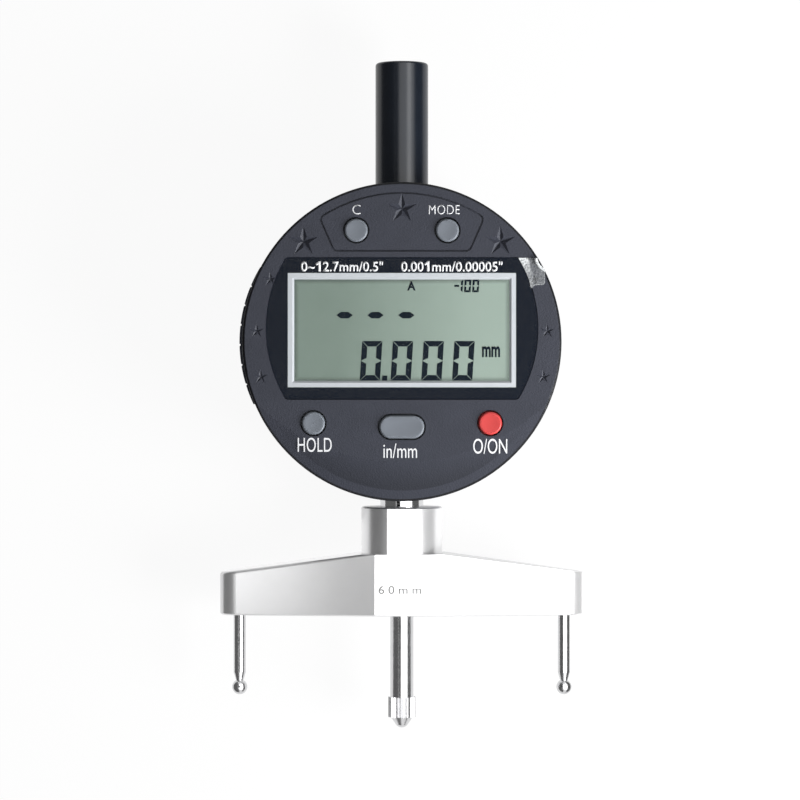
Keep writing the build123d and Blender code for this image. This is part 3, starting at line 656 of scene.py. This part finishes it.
@dataclass(frozen=True)
class Lettering:
    """A word or number, fitted to a box in millimetres and laid flat, facing up."""

    name: str
    text: str
    centre: Point
    width: float
    height: float
    weight: float = 0.0
    spacing: float = 1.0
    thickness: float = 0.02 * MM

    def build(self, level: float) -> Object:
        """Make the letters.

        Args:
            level: Height of the surface that they lie on.

        Returns:
            The mesh of the letters.
        """
        bpy.ops.object.text_add(location=(0, 0, 0))
        letters = bpy.context.active_object
        letters.data.body = self.text.replace("1", FLAGGED_ONE)
        letters.data.offset = self.weight
        letters.data.space_character = self.spacing
        bpy.ops.object.convert(target="MESH")
        letters = bpy.context.active_object
        low = Vector([min(v.co[k] for v in letters.data.vertices) for k in range(3)])
        high = Vector([max(v.co[k] for v in letters.data.vertices) for k in range(3)])
        scale_x = self.width * MM / (high.x - low.x)
        scale_y = self.height * MM / (high.y - low.y)
        x = self.centre[0] * MM - scale_x * (low.x + high.x) / 2
        y = self.centre[1] * MM - scale_y * (low.y + high.y) / 2
        letters.scale = (scale_x, scale_y, 1)
        letters.location = (x, y, level)
        place(letters, self.name)
        return thicken(letters, self.thickness)


@dataclass
class Keys:
    """Five keys: four round ones and an oval one, each with the lip that holds it in."""

    wardrobe: Wardrobe
    sides: int = 72
    lip_width: float = 0.58 * MM
    lip_height: float = 0.8 * MM
    edge_round: float = 0.34 * MM
    edge_steps: int = 5
    dish_width: float = 0.45 * MM
    dish_depth: float = 0.07 * MM

    def build(self) -> None:
        """Make the keys in place of their plain nodes."""
        master = self.key("clear_key", "key_clear", Vector((0, 0, 0)))
        self.finish(master, "clear_key", "clear_button", KEY_GREY)
        start = self.middle("clear_key")
        for node, body, finish in (
            ("mode_key", "mode_button", KEY_GREY),
            ("hold_key", "hold_button", KEY_GREY),
            ("power_key", "power_button", KEY_RED),
        ):
            copy = copy_to(master, "key_" + node.removesuffix("_key"), self.middle(node) - start)
            self.finish(copy, node, body, finish)
        low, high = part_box("unit_key")
        stretch = Vector(((high.x - low.x - (high.y - low.y)) / 2, 0, 0))
        self.finish(self.key("unit_key", "key_unit", stretch), "unit_key", "unit_button", KEY_GREY)

    def middle(self, node: str) -> Vector:
        """Give the middle of a node's box."""
        low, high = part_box(node)
        return (low + high) / 2

    def key(self, node: str, name: str, stretch: Vector) -> Object:
        """Model one key.

        Args:
            node: The CAD node that gives its size and place.
            name: The new piece's name.
            stretch: How far each half of a round key is drawn out sideways.

        Returns:
            The key.
        """
        low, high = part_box(node)
        middle = (low + high) / 2
        lip_r = (high.y - low.y) / 2
        bpy.ops.mesh.primitive_cylinder_add(
            vertices=self.sides,
            radius=lip_r,
            depth=self.lip_height,
            location=(middle.x, middle.y, low.z + self.lip_height / 2),
            rotation=(0, 0, pi / self.sides),
        )
        key = added(name)
        if stretch.length:
            pick(key, "VERT", lambda p: p.x > middle.x)
            bpy.ops.transform.translate(value=stretch)
            pick(key, "VERT", lambda p: p.x < middle.x)
            bpy.ops.transform.translate(value=-stretch)
        pick(key, "FACE", lambda f: f.normal.z > FACING)
        bpy.ops.mesh.inset(thickness=self.lip_width)
        rise = high.z - low.z - self.lip_height
        bpy.ops.mesh.extrude_region_move(TRANSFORM_OT_translate={"value": (0, 0, rise)})
        bpy.ops.mesh.bevel(offset=self.edge_round, segments=self.edge_steps, affect="EDGES")
        pick(key, "FACE", lambda f: f.normal.z > LEVEL and f.center.z > high.z - self.dish_depth)
        bpy.ops.mesh.inset(thickness=self.dish_width)
        bpy.ops.transform.translate(value=(0, 0, -self.dish_depth))
        smooth(key)
        return key

    def finish(self, key: Object, node: str, body: str, finish: Finish) -> None:
        """Dress a key and let it ride on its button.

        Args:
            key: The new key.
            node: The CAD node that it stands for.
            body: The body that it moves with.
            finish: Its surface.
        """
        self.wardrobe.dress(key, finish)
        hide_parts(node)
        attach(key, body)


@dataclass
class SpindleCap:
    """Black cap over the spindle's upper end, open below and rounded above."""

    wardrobe: Wardrobe
    sides: int = 96
    edge_round: float = 0.55 * MM
    edge_steps: int = 6
    wall: float = 1.155 * MM
    end_thickness: float = 1.2 * MM

    def build(self) -> None:
        """Make the cap in place of its plain node."""
        low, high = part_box("spindle_cap")
        middle = (low + high) / 2
        length = high.y - low.y
        bpy.ops.mesh.primitive_cylinder_add(
            vertices=self.sides,
            radius=(high.x - low.x) / 2,
            depth=length,
            location=middle,
            rotation=(pi / 2, 0, 0),
        )
        cap = added("cap")
        pick(cap, "FACE", lambda f: f.normal.y > FACING)
        bpy.ops.mesh.bevel(offset=self.edge_round, segments=self.edge_steps, affect="EDGES")
        pick(cap, "FACE", lambda f: f.normal.y < -FACING)
        bpy.ops.mesh.inset(thickness=self.wall)
        depth = length - self.end_thickness
        bpy.ops.mesh.extrude_region_move(TRANSFORM_OT_translate={"value": (0, depth, 0)})
        smooth(cap)
        self.wardrobe.dress(cap, CAP_BLACK)
        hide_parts("spindle_cap")
        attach(cap, "case")


class Stroke(Enum):
    """The outer strokes of a display's numeral.

    Each holds its side in X and Y, its turn, and which of its ends meet a corner.
    """

    TOP = (0, 2, 0.0, (-1, 1))
    UPPER_RIGHT = (1, 1, -pi / 2, (-1,))
    LOWER_RIGHT = (1, -1, -pi / 2, (1,))
    BOTTOM = (0, -2, pi, (-1, 1))
    LOWER_LEFT = (-1, -1, pi / 2, (-1,))
    UPPER_LEFT = (-1, 1, pi / 2, (1,))


ZERO = tuple(Stroke)
ONE = (Stroke.UPPER_RIGHT, Stroke.LOWER_RIGHT)


@dataclass(frozen=True)
class Numeral:
    """A leaning numeral made of strokes that are mitred at the corners.

    corner_gap is left at the mitres and waist_gap where two upright strokes meet.
    """

    width: float
    height: float
    stroke: float
    corner_gap: float
    waist_gap: float
    lean: float = 0.062
    thickness: float = 0.02 * MM

    def build(
        self, name: str, strokes: Iterable[Stroke], middle: Point, level: float
    ) -> Object:
        """Make one numeral.

        Args:
            name: The piece's name.
            strokes: The strokes that are lit.
            middle: The numeral's middle.
            level: Height of the surface that it lies on.

        Returns:
            The numeral's mesh.
        """
        bars = [self.bar(stroke) for stroke in strokes]
        numeral = bars[0]
        select(numeral)
        for bar in bars:
            bar.select_set(True)
        bpy.ops.object.join()
        for point in numeral.data.vertices:
            point.co.x += self.lean * point.co.y
        numeral.location = (*middle, level)
        place(numeral, name)
        return thicken(numeral, self.thickness)

    def bar(self, stroke: Stroke) -> Object:
        """Make one stroke, long outside and mitred towards the numeral's inside.

        Args:
            stroke: Which stroke.

        Returns:
            The stroke's flat mesh, about the numeral's middle.
        """
        side_x, side_y, turn, corners = stroke.value
        length = self.height / 2 if side_x else self.width
        bpy.ops.mesh.primitive_plane_add(size=1)
        bar = bpy.context.active_object
        bar.scale = (length, self.stroke, 1)
        place(bar, "stroke")
        for end in (-1, 1):
            mitred = end in corners
            gap = self.corner_gap if mitred else self.waist_gap
            cut = self.stroke if mitred else self.stroke / 2
            pick(bar, "VERT", lambda p: p.x * end > 0)
            bpy.ops.transform.translate(value=(-end * gap, 0, 0))
            pick(bar, "VERT", lambda p: p.y < 0 and p.x * end > 0)
            bpy.ops.transform.translate(value=(-end * cut, 0, 0))
        bpy.ops.object.mode_set(mode="OBJECT")
        up = (self.height - self.stroke) / 2 if not side_x else self.height / 4
        bar.location = (side_x * (self.width - self.stroke) / 2, up if side_y > 0 else -up, 0)
        bar.rotation_euler = (0, 0, turn)
        return place(bar, "stroke")


@dataclass
class Display:
    """Clear lens, and the characters that the liquid crystal cell shows."""

    wardrobe: Wardrobe
    lens_lift: float = 0.06 * MM
    lens_edge: float = 0.06 * MM
    characters_lift: float = 0.005 * MM
    reading: Numeral = Numeral(3.64 * MM, 7.12 * MM, 0.98 * MM, 0.07 * MM, 0.03 * MM)
    reading_middle: Point = (-5.54 * MM, -3.44 * MM)
    reading_pitch: float = 5.545 * MM
    reading_count: int = 4
    point_centre: Point = (-3.08 * MM, -6.56 * MM)
    point_side: float = 0.92 * MM
    index: Numeral = Numeral(1.18 * MM, 2.30 * MM, 0.36 * MM, 0.02 * MM, 0.02 * MM)
    index_middle: Point = (11.86 * MM, 10.06 * MM)
    index_pitch: float = 1.46 * MM
    dash_length: float = 2.96 * MM
    dash_height: float = 1.16 * MM
    dash_point: float = 0.78 * MM
    dash_centre: Point = (-4.75 * MM, 4.78 * MM)
    dash_pitch: float = 5.56 * MM
    letters: Iterable[Lettering] = (
        Lettering("shown_unit", "mm", (16.08, -1.81), 3.23, 1.95, 0.028),
        Lettering("shown_mode", "A", (1.72, 10.06), 1.50, 1.68, 0.030),
        Lettering("shown_sign", "-", (9.88, 10.06), 0.85, 0.36),
    )

    def build(self) -> None:
        """Make the lens and every character."""
        self.wardrobe.dress_nodes(LIQUID_CRYSTAL, "lcd_cell")
        self.wardrobe.dress_nodes(BEZEL_SILVER, "display_bezel")
        self.wardrobe.dress_nodes(PANEL_BLACK, "display_panel")
        self.lens()
        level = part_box("lcd_cell")[1].z + self.characters_lift
        shown = [*self.numerals(level), *self.dashes(level)]
        shown += [*(word.build(level) for word in self.letters), self.point(level)]
        for piece in shown:
            self.wardrobe.dress(piece, SEGMENT_DARK)
            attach(piece, "case")

    def lens(self) -> None:
        """Make the clear lens, a hair above the cell."""
        low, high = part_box("display_lens")
        low = low + Vector((0, 0, self.lens_lift))
        bpy.ops.mesh.primitive_cube_add(size=1, location=(low + high) / 2, scale=high - low)
        lens = added("lens")
        bevel = lens.modifiers.new("edge", "BEVEL")
        bevel.width = self.lens_edge
        bevel.segments = 2
        apply_modifiers(lens)
        smooth(lens)
        self.wardrobe.dress(lens, CLEAR_LENS)
        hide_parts("display_lens")
        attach(lens, "case")

    def numerals(self, level: float) -> list[Object]:
        """Make the main reading and the small index.

        Args:
            level: Height of the cell's top.

        Returns:
            The numerals.
        """
        x, y = self.reading_middle
        first = self.reading.build("reading_1", ZERO, (x, y), level)
        made = [first]
        for place_no in range(1, self.reading_count):
            shift = Vector((self.reading_pitch * place_no, 0, 0))
            made.append(copy_to(first, f"reading_{place_no + 1}", shift))
        x, y = self.index_middle
        made.append(self.index.build("index_1", ONE, (x - self.index_pitch, y), level))
        zero = self.index.build("index_2", ZERO, (x, y), level)
        made += [zero, copy_to(zero, "index_3", Vector((self.index_pitch, 0, 0)))]
        return made

    def dashes(self, level: float) -> list[Object]:
        """Make the three pointed dashes.

        Args:
            level: Height of the cell's top.

        Returns:
            The dashes.
        """
        bpy.ops.mesh.primitive_circle_add(
            vertices=6, radius=1, fill_type="NGON", rotation=(0, 0, pi / 2)
        )
        dash = bpy.context.active_object
        dash.scale = (self.dash_height / 3**0.5, self.dash_length / 2, 1)
        x, y = self.dash_centre
        dash.location = (x, y, level)
        dash = place(dash, "dash_2")
        for end in (-1, 1):
            pick(dash, "VERT", lambda p: 0.1 < (p.x - x) * end / self.dash_length < 0.4)
            shift = end * (self.dash_length / 4 - self.dash_point)
            bpy.ops.transform.translate(value=(shift, 0, 0))
        bpy.ops.object.mode_set(mode="OBJECT")
        thicken(dash, self.reading.thickness)
        pitch = Vector((self.dash_pitch, 0, 0))
        return [dash, copy_to(dash, "dash_1", -pitch), copy_to(dash, "dash_3", pitch)]

    def point(self, level: float) -> Object:
        """Make the decimal point.

        Args:
            level: Height of the cell's top.

        Returns:
            The point.
        """
        spot = (*self.point_centre, level)
        bpy.ops.mesh.primitive_plane_add(size=self.point_side, location=spot)
        point = added("decimal_point")
        for vertex in point.data.vertices:
            vertex.co.x += self.reading.lean * (vertex.co.y - self.point_centre[1])
        return thicken(point, self.reading.thickness)


@dataclass
class Print:
    """White print on the face and on the display panel, and the span engraved in the bridge."""

    wardrobe: Wardrobe
    face_words: Iterable[Lettering] = (
        Lettering("print_clear", "C", (-8.16, 23.75), 1.50, 1.72, -0.010),
        Lettering("print_mode", "MODE", (7.61, 23.74), 5.55, 1.68, -0.008, 1.08),
        Lettering("print_hold", "HOLD", (-15.67, -18.56), 6.11, 2.56, 0.0, 1.05),
        Lettering("print_unit", "in/mm", (-0.29, -19.64), 6.06, 2.60),
        Lettering("print_power", "O/ON", (15.89, -18.81), 6.11, 2.69),
    )
    panel_words: Iterable[Lettering] = tuple(
        Lettering(name, text, (x, 13.53), width, 1.86, 0.02, 1.02)
        for name, text, x, width in (
            ("print_range", "0~12.7mm/0.5\"", -10.77, 14.73),
            ("print_step", "0.001mm/0.00005\"", 8.96, 18.24),
        )
    )
    span: Lettering = Lettering("engraved_span", "60mm", (-0.35, -45.22), 7.79, 1.47, spacing=1.5)
    lift: float = 0.002 * MM

    def build(self) -> None:
        """Make all lettering."""
        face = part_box("front_cover")[1].z + self.lift
        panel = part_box("display_panel")[1].z + self.lift
        for words, level in ((self.face_words, face), (self.panel_words, panel)):
            for word in words:
                self.add(word.build(level), WHITE_PRINT)
        self.add(self.span.build(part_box("bridge")[1].z + self.lift), ENGRAVING)

    def add(self, piece: Object, finish: Finish) -> None:
        """Dress a piece of lettering and let it ride on the case.

        Args:
            piece: The letters.
            finish: Their surface.
        """
        self.wardrobe.dress(piece, finish)
        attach(piece, "case")


@dataclass
class Film:
    """Protective film on the panel, with a pull tab that curls up past the rim."""

    wardrobe: Wardrobe
    inset: float = 0.25 * MM
    thickness: float = 0.08 * MM
    lift: float = 0.012 * MM
    hem: float = 0.04 * MM
    sheet_sides: int = 160
    tab_foot: float = 10.18 * MM
    tab_top: float = 15.05 * MM
    tab_right: float = 25.74 * MM
    tab_corner: float = 0.60 * MM
    tab_cuts: int = 64
    flap_right: float = 24.05 * MM
    flap_drop: float = 0.62 * MM
    roll_centre: Point = (26.74 * MM, 15.29 * MM)
    roll_reach: float = 2.70 * MM
    roll_r: float = 0.30 * MM
    outline: float = 0.16 * MM
    border_foot: float = 0.30 * MM
    border_rise: float = 1.10 * MM
    border_fade: float = 0.60 * MM
    cover_clear: float = 0.09
    # painted highlight along the tab's free edge and on its roll
    outline_highlight: float = 0.30
    roll_highlight: float = 1.60
    milky_foot: float = 0.15
    # the film's milkiness, with a painted sheen that grows towards the tab's top
    milky_sheen_rise: float = 0.95

    def build(self) -> None:
        """Make the sheet and its tab in place of the plain node."""
        sheet, tab = self.sheet(), self.tab()
        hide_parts("screen_film")
        for piece in (sheet, tab):
            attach(piece, "case")

    def sheet(self) -> Object:
        """Make the part that lies on the panel.

        Returns:
            The sheet.
        """
        low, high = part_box("display_panel")
        bpy.ops.mesh.primitive_circle_add(
            vertices=self.sheet_sides,
            radius=(high.x - low.x) / 2 - self.inset,
            fill_type="NGON",
            location=(0, (low.y + high.y) / 2, high.z + self.lift),
        )
        sheet = added("film_sheet")
        self.trim(sheet, (0, high.y - self.inset), (0, 1))
        self.trim(sheet, (0, low.y + self.inset), (0, -1))
        thicken(sheet, self.thickness)
        self.wardrobe.dress(sheet, FILM_ON_PANEL)
        return sheet

    def trim(self, piece: Object, spot: Point, outwards: Point) -> None:
        """Cut a flat piece along a straight line and drop what lies beyond.

        Args:
            piece: The active mesh object.
            spot: A point of the line.
            outwards: Direction of the side that is dropped.
        """
        pick(piece, "FACE", lambda f: True)
        normal = Vector((*outwards, 0)).normalized()
        spot = (*spot, 0)
        bpy.ops.mesh.bisect(plane_co=spot, plane_no=normal, clear_outer=True, threshold=1e-7)
        bpy.ops.object.mode_set(mode="OBJECT")

    def tab(self) -> Object:
        """Make the tab that has come loose at the panel's upper right corner.

        Returns:
            The tab.
        """
        low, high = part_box("display_panel")
        panel_r, panel_y, level = (high.x - low.x) / 2, (low.y + high.y) / 2, high.z
        cuts = self.tab_cuts
        bpy.ops.mesh.primitive_grid_add(x_subdivisions=cuts, y_subdivisions=cuts, size=1)
        tab = bpy.context.active_object
        tab.scale = (1, self.tab_top - self.tab_foot, 1)
        tab.location = (0.5, (self.tab_top + self.tab_foot) / 2, level)
        place(tab, "film_tab")
        cover = tab.data.attributes.new(FILM_LIFTED.cover, "FLOAT", "POINT")
        for point, shown in zip(tab.data.vertices, cover.data):
            y = point.co.y
            left = (panel_r**2 - (y - panel_y) ** 2) ** 0.5 + self.hem
            low_part = max(0.0, self.tab_foot + self.tab_corner - y)
            right = self.tab_right - self.tab_corner + (self.tab_corner**2 - low_part**2) ** 0.5
            x = left + point.co.x * (right - left)
            beyond = (x**2 + (y - panel_y) ** 2) ** 0.5 - panel_r
            inside = min(right - x, y - self.tab_foot)
            shown.value = self.milkiness_and_sheen(x, y, beyond, inside)
            flap = max(0.0, 1 - (y - self.tab_foot) / MM) * max(0.0, self.flap_right - x)
            y -= flap * self.flap_drop / (self.flap_right - left)
            point.co = self.rolled(Vector((x, y, level + self.hem)))
        thicken(tab, self.thickness)
        smooth(tab, 60)
        self.wardrobe.dress(tab, FILM_LIFTED)
        return tab

    def past_roll(self, x: float, y: float) -> float:
        """Give how far a point of the flat tab lies past the curve along which it rolls up."""
        return self.roll_reach - (Vector(self.roll_centre) - Vector((x, y))).length

    def rolled(self, spot: Vector) -> Vector:
        """Roll up the tab's free upper corner.

        Args:
            spot: A point of the flat tab.

        Returns:
            Its place on the rolled tab.
        """
        past = max(0.0, self.past_roll(spot.x, spot.y))
        turn = past / self.roll_r
        side = (Vector(self.roll_centre) - spot.xy).normalized()
        shift = side * (self.roll_r * sin(turn) - past)
        return spot + Vector((shift.x, shift.y, self.roll_r * (1 - cos(turn))))

    def milkiness_and_sheen(self, x: float, y: float, beyond: float, inside: float) -> float:
        """Give how much of the tab shows at a point, milkiness plus a painted sheen and highlights.

        Args:
            x: Across the panel.
            y: Up the panel.
            beyond: Distance past the panel's round edge.
            inside: Distance to the tab's free edge.

        Returns:
            The share that hides what lies under it.
        """
        height = (y - self.tab_foot) / (self.tab_top - self.tab_foot)
        # painted highlight on the roll
        if self.past_roll(x, y) > -self.outline:
            return self.roll_highlight
        border = self.border_foot + self.border_rise * height + self.border_fade / 2
        milky = min(1.0, max(0.0, (border - beyond) / self.border_fade))
        # the lifted film's milkiness, with a painted sheen rising towards the top
        cover = self.cover_clear + milky * (self.milky_foot + self.milky_sheen_rise * height**3)
        # painted highlight along the free edge
        return max(cover, self.outline_highlight) if inside < self.outline else cover


@dataclass
class ReturnSpring:
    """Spring round the spindle, coiled to the length of its plain node."""

    wardrobe: Wardrobe
    wire: float = 0.4 * MM
    wire_sides: int = 12
    turns: int = 8
    steps: int = 36
    travel: float = 12.7 * MM

    def build(self) -> None:
        """Make the spring in place of its plain node."""
        low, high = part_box("return_spring")
        middle = (low + high) / 2
        length = high.y - low.y
        bpy.ops.mesh.primitive_circle_add(
            vertices=self.wire_sides,
            radius=self.wire / 2,
            location=((high.x - low.x - self.wire) / 2, 0, 0),
        )
        spring = added("spring")
        coil = spring.modifiers.new("coil", "SCREW")
        coil.axis = "Y"
        coil.iterations = self.turns
        coil.screw_offset = (length - self.wire) / self.turns
        coil.steps = coil.render_steps = self.steps
        apply_modifiers(spring)
        bpy.ops.object.mode_set(mode="EDIT")
        bpy.ops.mesh.select_mode(type="EDGE")
        bpy.ops.mesh.select_all(action="DESELECT")
        bpy.ops.mesh.select_non_manifold()
        bpy.ops.mesh.fill_holes(sides=0)
        bpy.ops.mesh.select_all(action="SELECT")
        bpy.ops.mesh.normals_make_consistent(inside=False)
        smooth(spring, 60)
        spring.location = (middle.x, low.y + self.wire / 2, middle.z)
        place(spring, "spring")
        self.wardrobe.dress(spring, SPRING_STEEL)
        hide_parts("return_spring")
        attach(spring, "case")
        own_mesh(spring)


@dataclass
class Body:
    """Finishes of the pieces whose CAD shape is shown as it is."""

    wardrobe: Wardrobe

    def build(self) -> None:
        """Dress the case, the metal pieces and what is inside."""
        dress = self.wardrobe.dress_nodes
        dress(CASE_PLASTIC, "front_cover", "rear_housing", "back_cover", "battery_drawer")
        dress(BRIDGE_ALUMINIUM, "bridge")
        dress(POLISHED_STEEL, "stem")
        dress(GROUND_STEEL, "contact_point", "spindle", "left_pin", "right_pin", "guide_rod")
        dress(BRASS, "lower_bush", "upper_bush")
        dress(BOARD_GREEN, "circuit_board", "sensor_board")
        dress(BLACK_PLASTIC, "key_switches", "board_link")
        dress(STRIP_RUBBER, "contact_strips")
        dress(SCALE_COPPER, "scale_strip")
        dress(ZINC_STEEL, "case_screws", "sensor_screws")
        dress(BLACK_STEEL, "clamp_screw", "carrier_screw")
        dress(CELL_STEEL, "button_cell", "battery_contacts")
        dress(CARRIER_METAL, "carrier")


@dataclass(frozen=True)
class Card:
    """A sheet that only shows in gloss.

    size is its width and length before it is turned, and glow its brightness, 1 being white.
    """

    name: str
    spot: Place
    size: Point
    turn: Place = (0, 0, 0)
    glow: float = 0.14

    def build(self) -> None:
        """Make the card."""
        bpy.ops.mesh.primitive_plane_add(size=1, location=self.spot, rotation=self.turn)
        card = bpy.context.active_object
        card.scale = (*self.size, 1)
        place(card, self.name)
        material = bpy.data.materials.new(self.name)
        tree = Tree(material)
        values = {
            "Base Color": (0, 0, 0, 1),
            "Specular IOR Level": 0.0,
            "Emission Color": (1, 1, 1, 1),
            "Emission Strength": self.glow,
        }
        tree.feed(tree.nodes["Principled BSDF"], values)
        card.data.materials.append(material)
        card.visible_camera = card.visible_diffuse = False
        card.visible_transmission = card.visible_shadow = False


@dataclass(frozen=True)
class Lamp:
    """A soft light that isn't seen itself and faces a point.

    lean is its angle off the vertical over that point, and turn the side that it leans to, both
    in degrees. radiance is how bright its face is, 1 being white. It falls on the lit pieces
    alone where some are named, and the unshading pieces throw no shadow in it.
    """

    name: str
    lean: float
    distance: float
    size: Point
    radiance: float
    turn: float = 0.0
    point: Place = (0, 0, 0)
    diffuse: bool = True
    gloss: bool = True
    lit: Iterable[str] = ()
    unshading: Iterable[str] = ()

    def build(self) -> None:
        """Make the lamp."""
        turn = Euler((0, radians(self.lean), radians(self.turn)))
        spot = Vector((0, 0, self.distance))
        spot.rotate(turn)
        bpy.ops.object.light_add(type="AREA", location=Vector(self.point) + spot, rotation=turn)
        lamp = bpy.context.active_object
        lamp.name = self.name
        lamp.data.shape = "RECTANGLE"
        lamp.data.size, lamp.data.size_y = self.size
        lamp.data.energy = self.radiance * pi * self.size[0] * self.size[1]
        lamp.visible_camera = False
        lamp.visible_diffuse = self.diffuse
        lamp.visible_glossy = self.gloss
        if self.lit:
            lamp.light_linking.receiver_collection = self.group("lit", self.lit)
        if self.unshading:
            free = self.group("unshading", self.unshading)
            for item in free.collection_objects:
                item.light_linking.link_state = "EXCLUDE"
            lamp.light_linking.blocker_collection = free

    def group(self, role: str, pieces: Iterable[str]) -> bpy.types.Collection:
        """Put pieces in a collection that the lamp refers to.

        Args:
            role: What they are to the lamp.
            pieces: The pieces' names.

        Returns:
            The collection.
        """
        group = bpy.data.collections.new(f"{self.name}_{role}")
        for piece in pieces:
            group.objects.link(bpy.data.objects[piece])
        return group


@dataclass
class Studio:
    """Pale floor, soft light, the dark cards that give metal its bands, and the camera.

    soft_light, soft_fill and strip_light are the large light over the right side, once for gloss
    and once for the rest, with a brighter strip. The rake lights come in low from the right and
    bring out the face's relief. arm_light whitens the end of the bridge's left arm.
    """

    camera_place: Place = (-0.335 * MM, -10.50 * MM, 571 * MM)
    lens: float = 136.64
    sensor: float = 36.0
    near: float = 0.01
    floor_side: float = 8.0
    floor_level: float = -0.02 * MM
    floor_color: Color = (0.90, 0.90, 0.90)
    floor_roughness: float = 0.9
    floor_glow: float = 0.93
    world_strength: float = 0.32
    lamps: Iterable[Lamp] = (
        Lamp("soft_light", 21, 0.46, (0.62, 0.80), 1.5, diffuse=False),
        Lamp("soft_fill", 21, 0.46, (0.62, 0.80), 0.80, gloss=False),
        Lamp("strip_light", 32, 0.50, (0.15, 0.80), 3.4, diffuse=False),
        Lamp(
            "rake_light", 62, 0.30, (0.14, 0.14), 28, -27, gloss=False,
            unshading=("display_bezel", "display_panel", "lens", "film_sheet"),
        ),
        Lamp(
            "rake_gloss", 62, 0.30, (0.14, 0.14), 28, -27, diffuse=False,
            lit=(
                "front_cover", "battery_drawer",
                "key_clear", "key_mode", "key_hold", "key_power", "key_unit",
            ),
        ),
        Lamp("arm_light", 0, 0.10, (0.032, 0.032), 1.7, point=(-0.060, -0.043, 0), lit=("bridge",)),
    )
    cards: Iterable[Card] = (
        Card("card_left", (-0.50, 0, 0.42), (0.84, 2.4), (0, pi / 2, 0)),
        Card("card_above_left", (-0.345, 0, 0.90), (0.29, 2.4)),
        Card("card_right", (0.62, 0, 0.21), (0.42, 2.4), (0, pi / 2, 0)),
        Card("card_floor_left", (-0.28, 0, 0.001), (0.44, 2.4)),
        Card("card_floor_right", (0.3325, 0, 0.001), (0.575, 2.4)),
        Card("card_front", (-0.33, -0.60, 0.27), (0.54, 0.50), (pi / 2, 0, 0)),
        Card("card_arm", (-0.0270, -0.0535, 0.100), (0.032, 0.050), glow=0.0),
        Card("card_bright", (-0.019, -0.040, 0.0005), (0.030, 0.014), glow=1.25),
    )

    def build(self) -> None:
        """Make the stage, the lights and the camera."""
        self.floor()
        self.world()
        for item in (*self.lamps, *self.cards):
            item.build()
        self.camera()
        bpy.context.scene.view_settings.view_transform = "Standard"

    def seen_ray(self, tree: Tree) -> NodeSocket:
        """Make a value of 1 for rays that show a background, and 0 for rays that light.

        Args:
            tree: The node tree that needs it.

        Returns:
            The socket with the value.
        """
        rays = tree.add("LightPath", {}).node.outputs
        seen = tree.math("MAXIMUM", rays["Is Camera Ray"], rays["Is Glossy Ray"])
        return tree.math("MAXIMUM", seen, rays["Is Transmission Ray"])

    def floor(self) -> None:
        """Make the pale floor, which stays white to the eye and keeps a faint shadow."""
        spot = (0, 0, self.floor_level)
        bpy.ops.mesh.primitive_plane_add(size=self.floor_side, location=spot)
        floor = added("floor")
        material = bpy.data.materials.new("floor_white")
        tree = Tree(material)
        values = {
            "Base Color": solid(self.floor_color),
            "Roughness": self.floor_roughness,
            "Specular IOR Level": 0.0,
        }
        matt = tree.feed(tree.nodes["Principled BSDF"], values).outputs["BSDF"]
        share = tree.math("MULTIPLY", self.seen_ray(tree), self.floor_glow)
        mixed = tree.add("MixShader", {"Fac": share, 1: matt, 2: tree.add("Emission", {})})
        tree.feed(tree.nodes["Material Output"], {"Surface": mixed})
        floor.data.materials.append(material)

    def world(self) -> None:
        """Make a plain pale surround that is white where it is seen."""
        world = bpy.data.worlds.new("surround")
        bpy.context.scene.world = world
        tree = Tree(world)
        strength = tree.ramp(self.seen_ray(tree), 0.0, 1.0, self.world_strength)
        tree.feed(tree.nodes["Background"], {"Color": (1, 1, 1, 1), "Strength": strength})

    def camera(self) -> None:
        """Make the camera, which looks straight down on the face."""
        bpy.ops.object.camera_add(location=self.camera_place, rotation=(0, 0, 0))
        camera = bpy.context.active_object
        camera.data.lens = self.lens
        camera.data.sensor_width = self.sensor
        camera.data.clip_start = self.near
        bpy.context.scene.camera = camera


def main() -> None:
    """Build every sub-assembly in order."""
    logging.basicConfig(level=logging.INFO, format="%(message)s")
    wardrobe = Wardrobe()
    for part in (
        Body(wardrobe),
        Display(wardrobe),
        Keys(wardrobe),
        SpindleCap(wardrobe),
        Print(wardrobe),
        Film(wardrobe),
        ReturnSpring(wardrobe),
        Studio(),
    ):
        part.build()
        log.info("built %s", type(part).__name__)


if __name__ == "__main__":
    main()
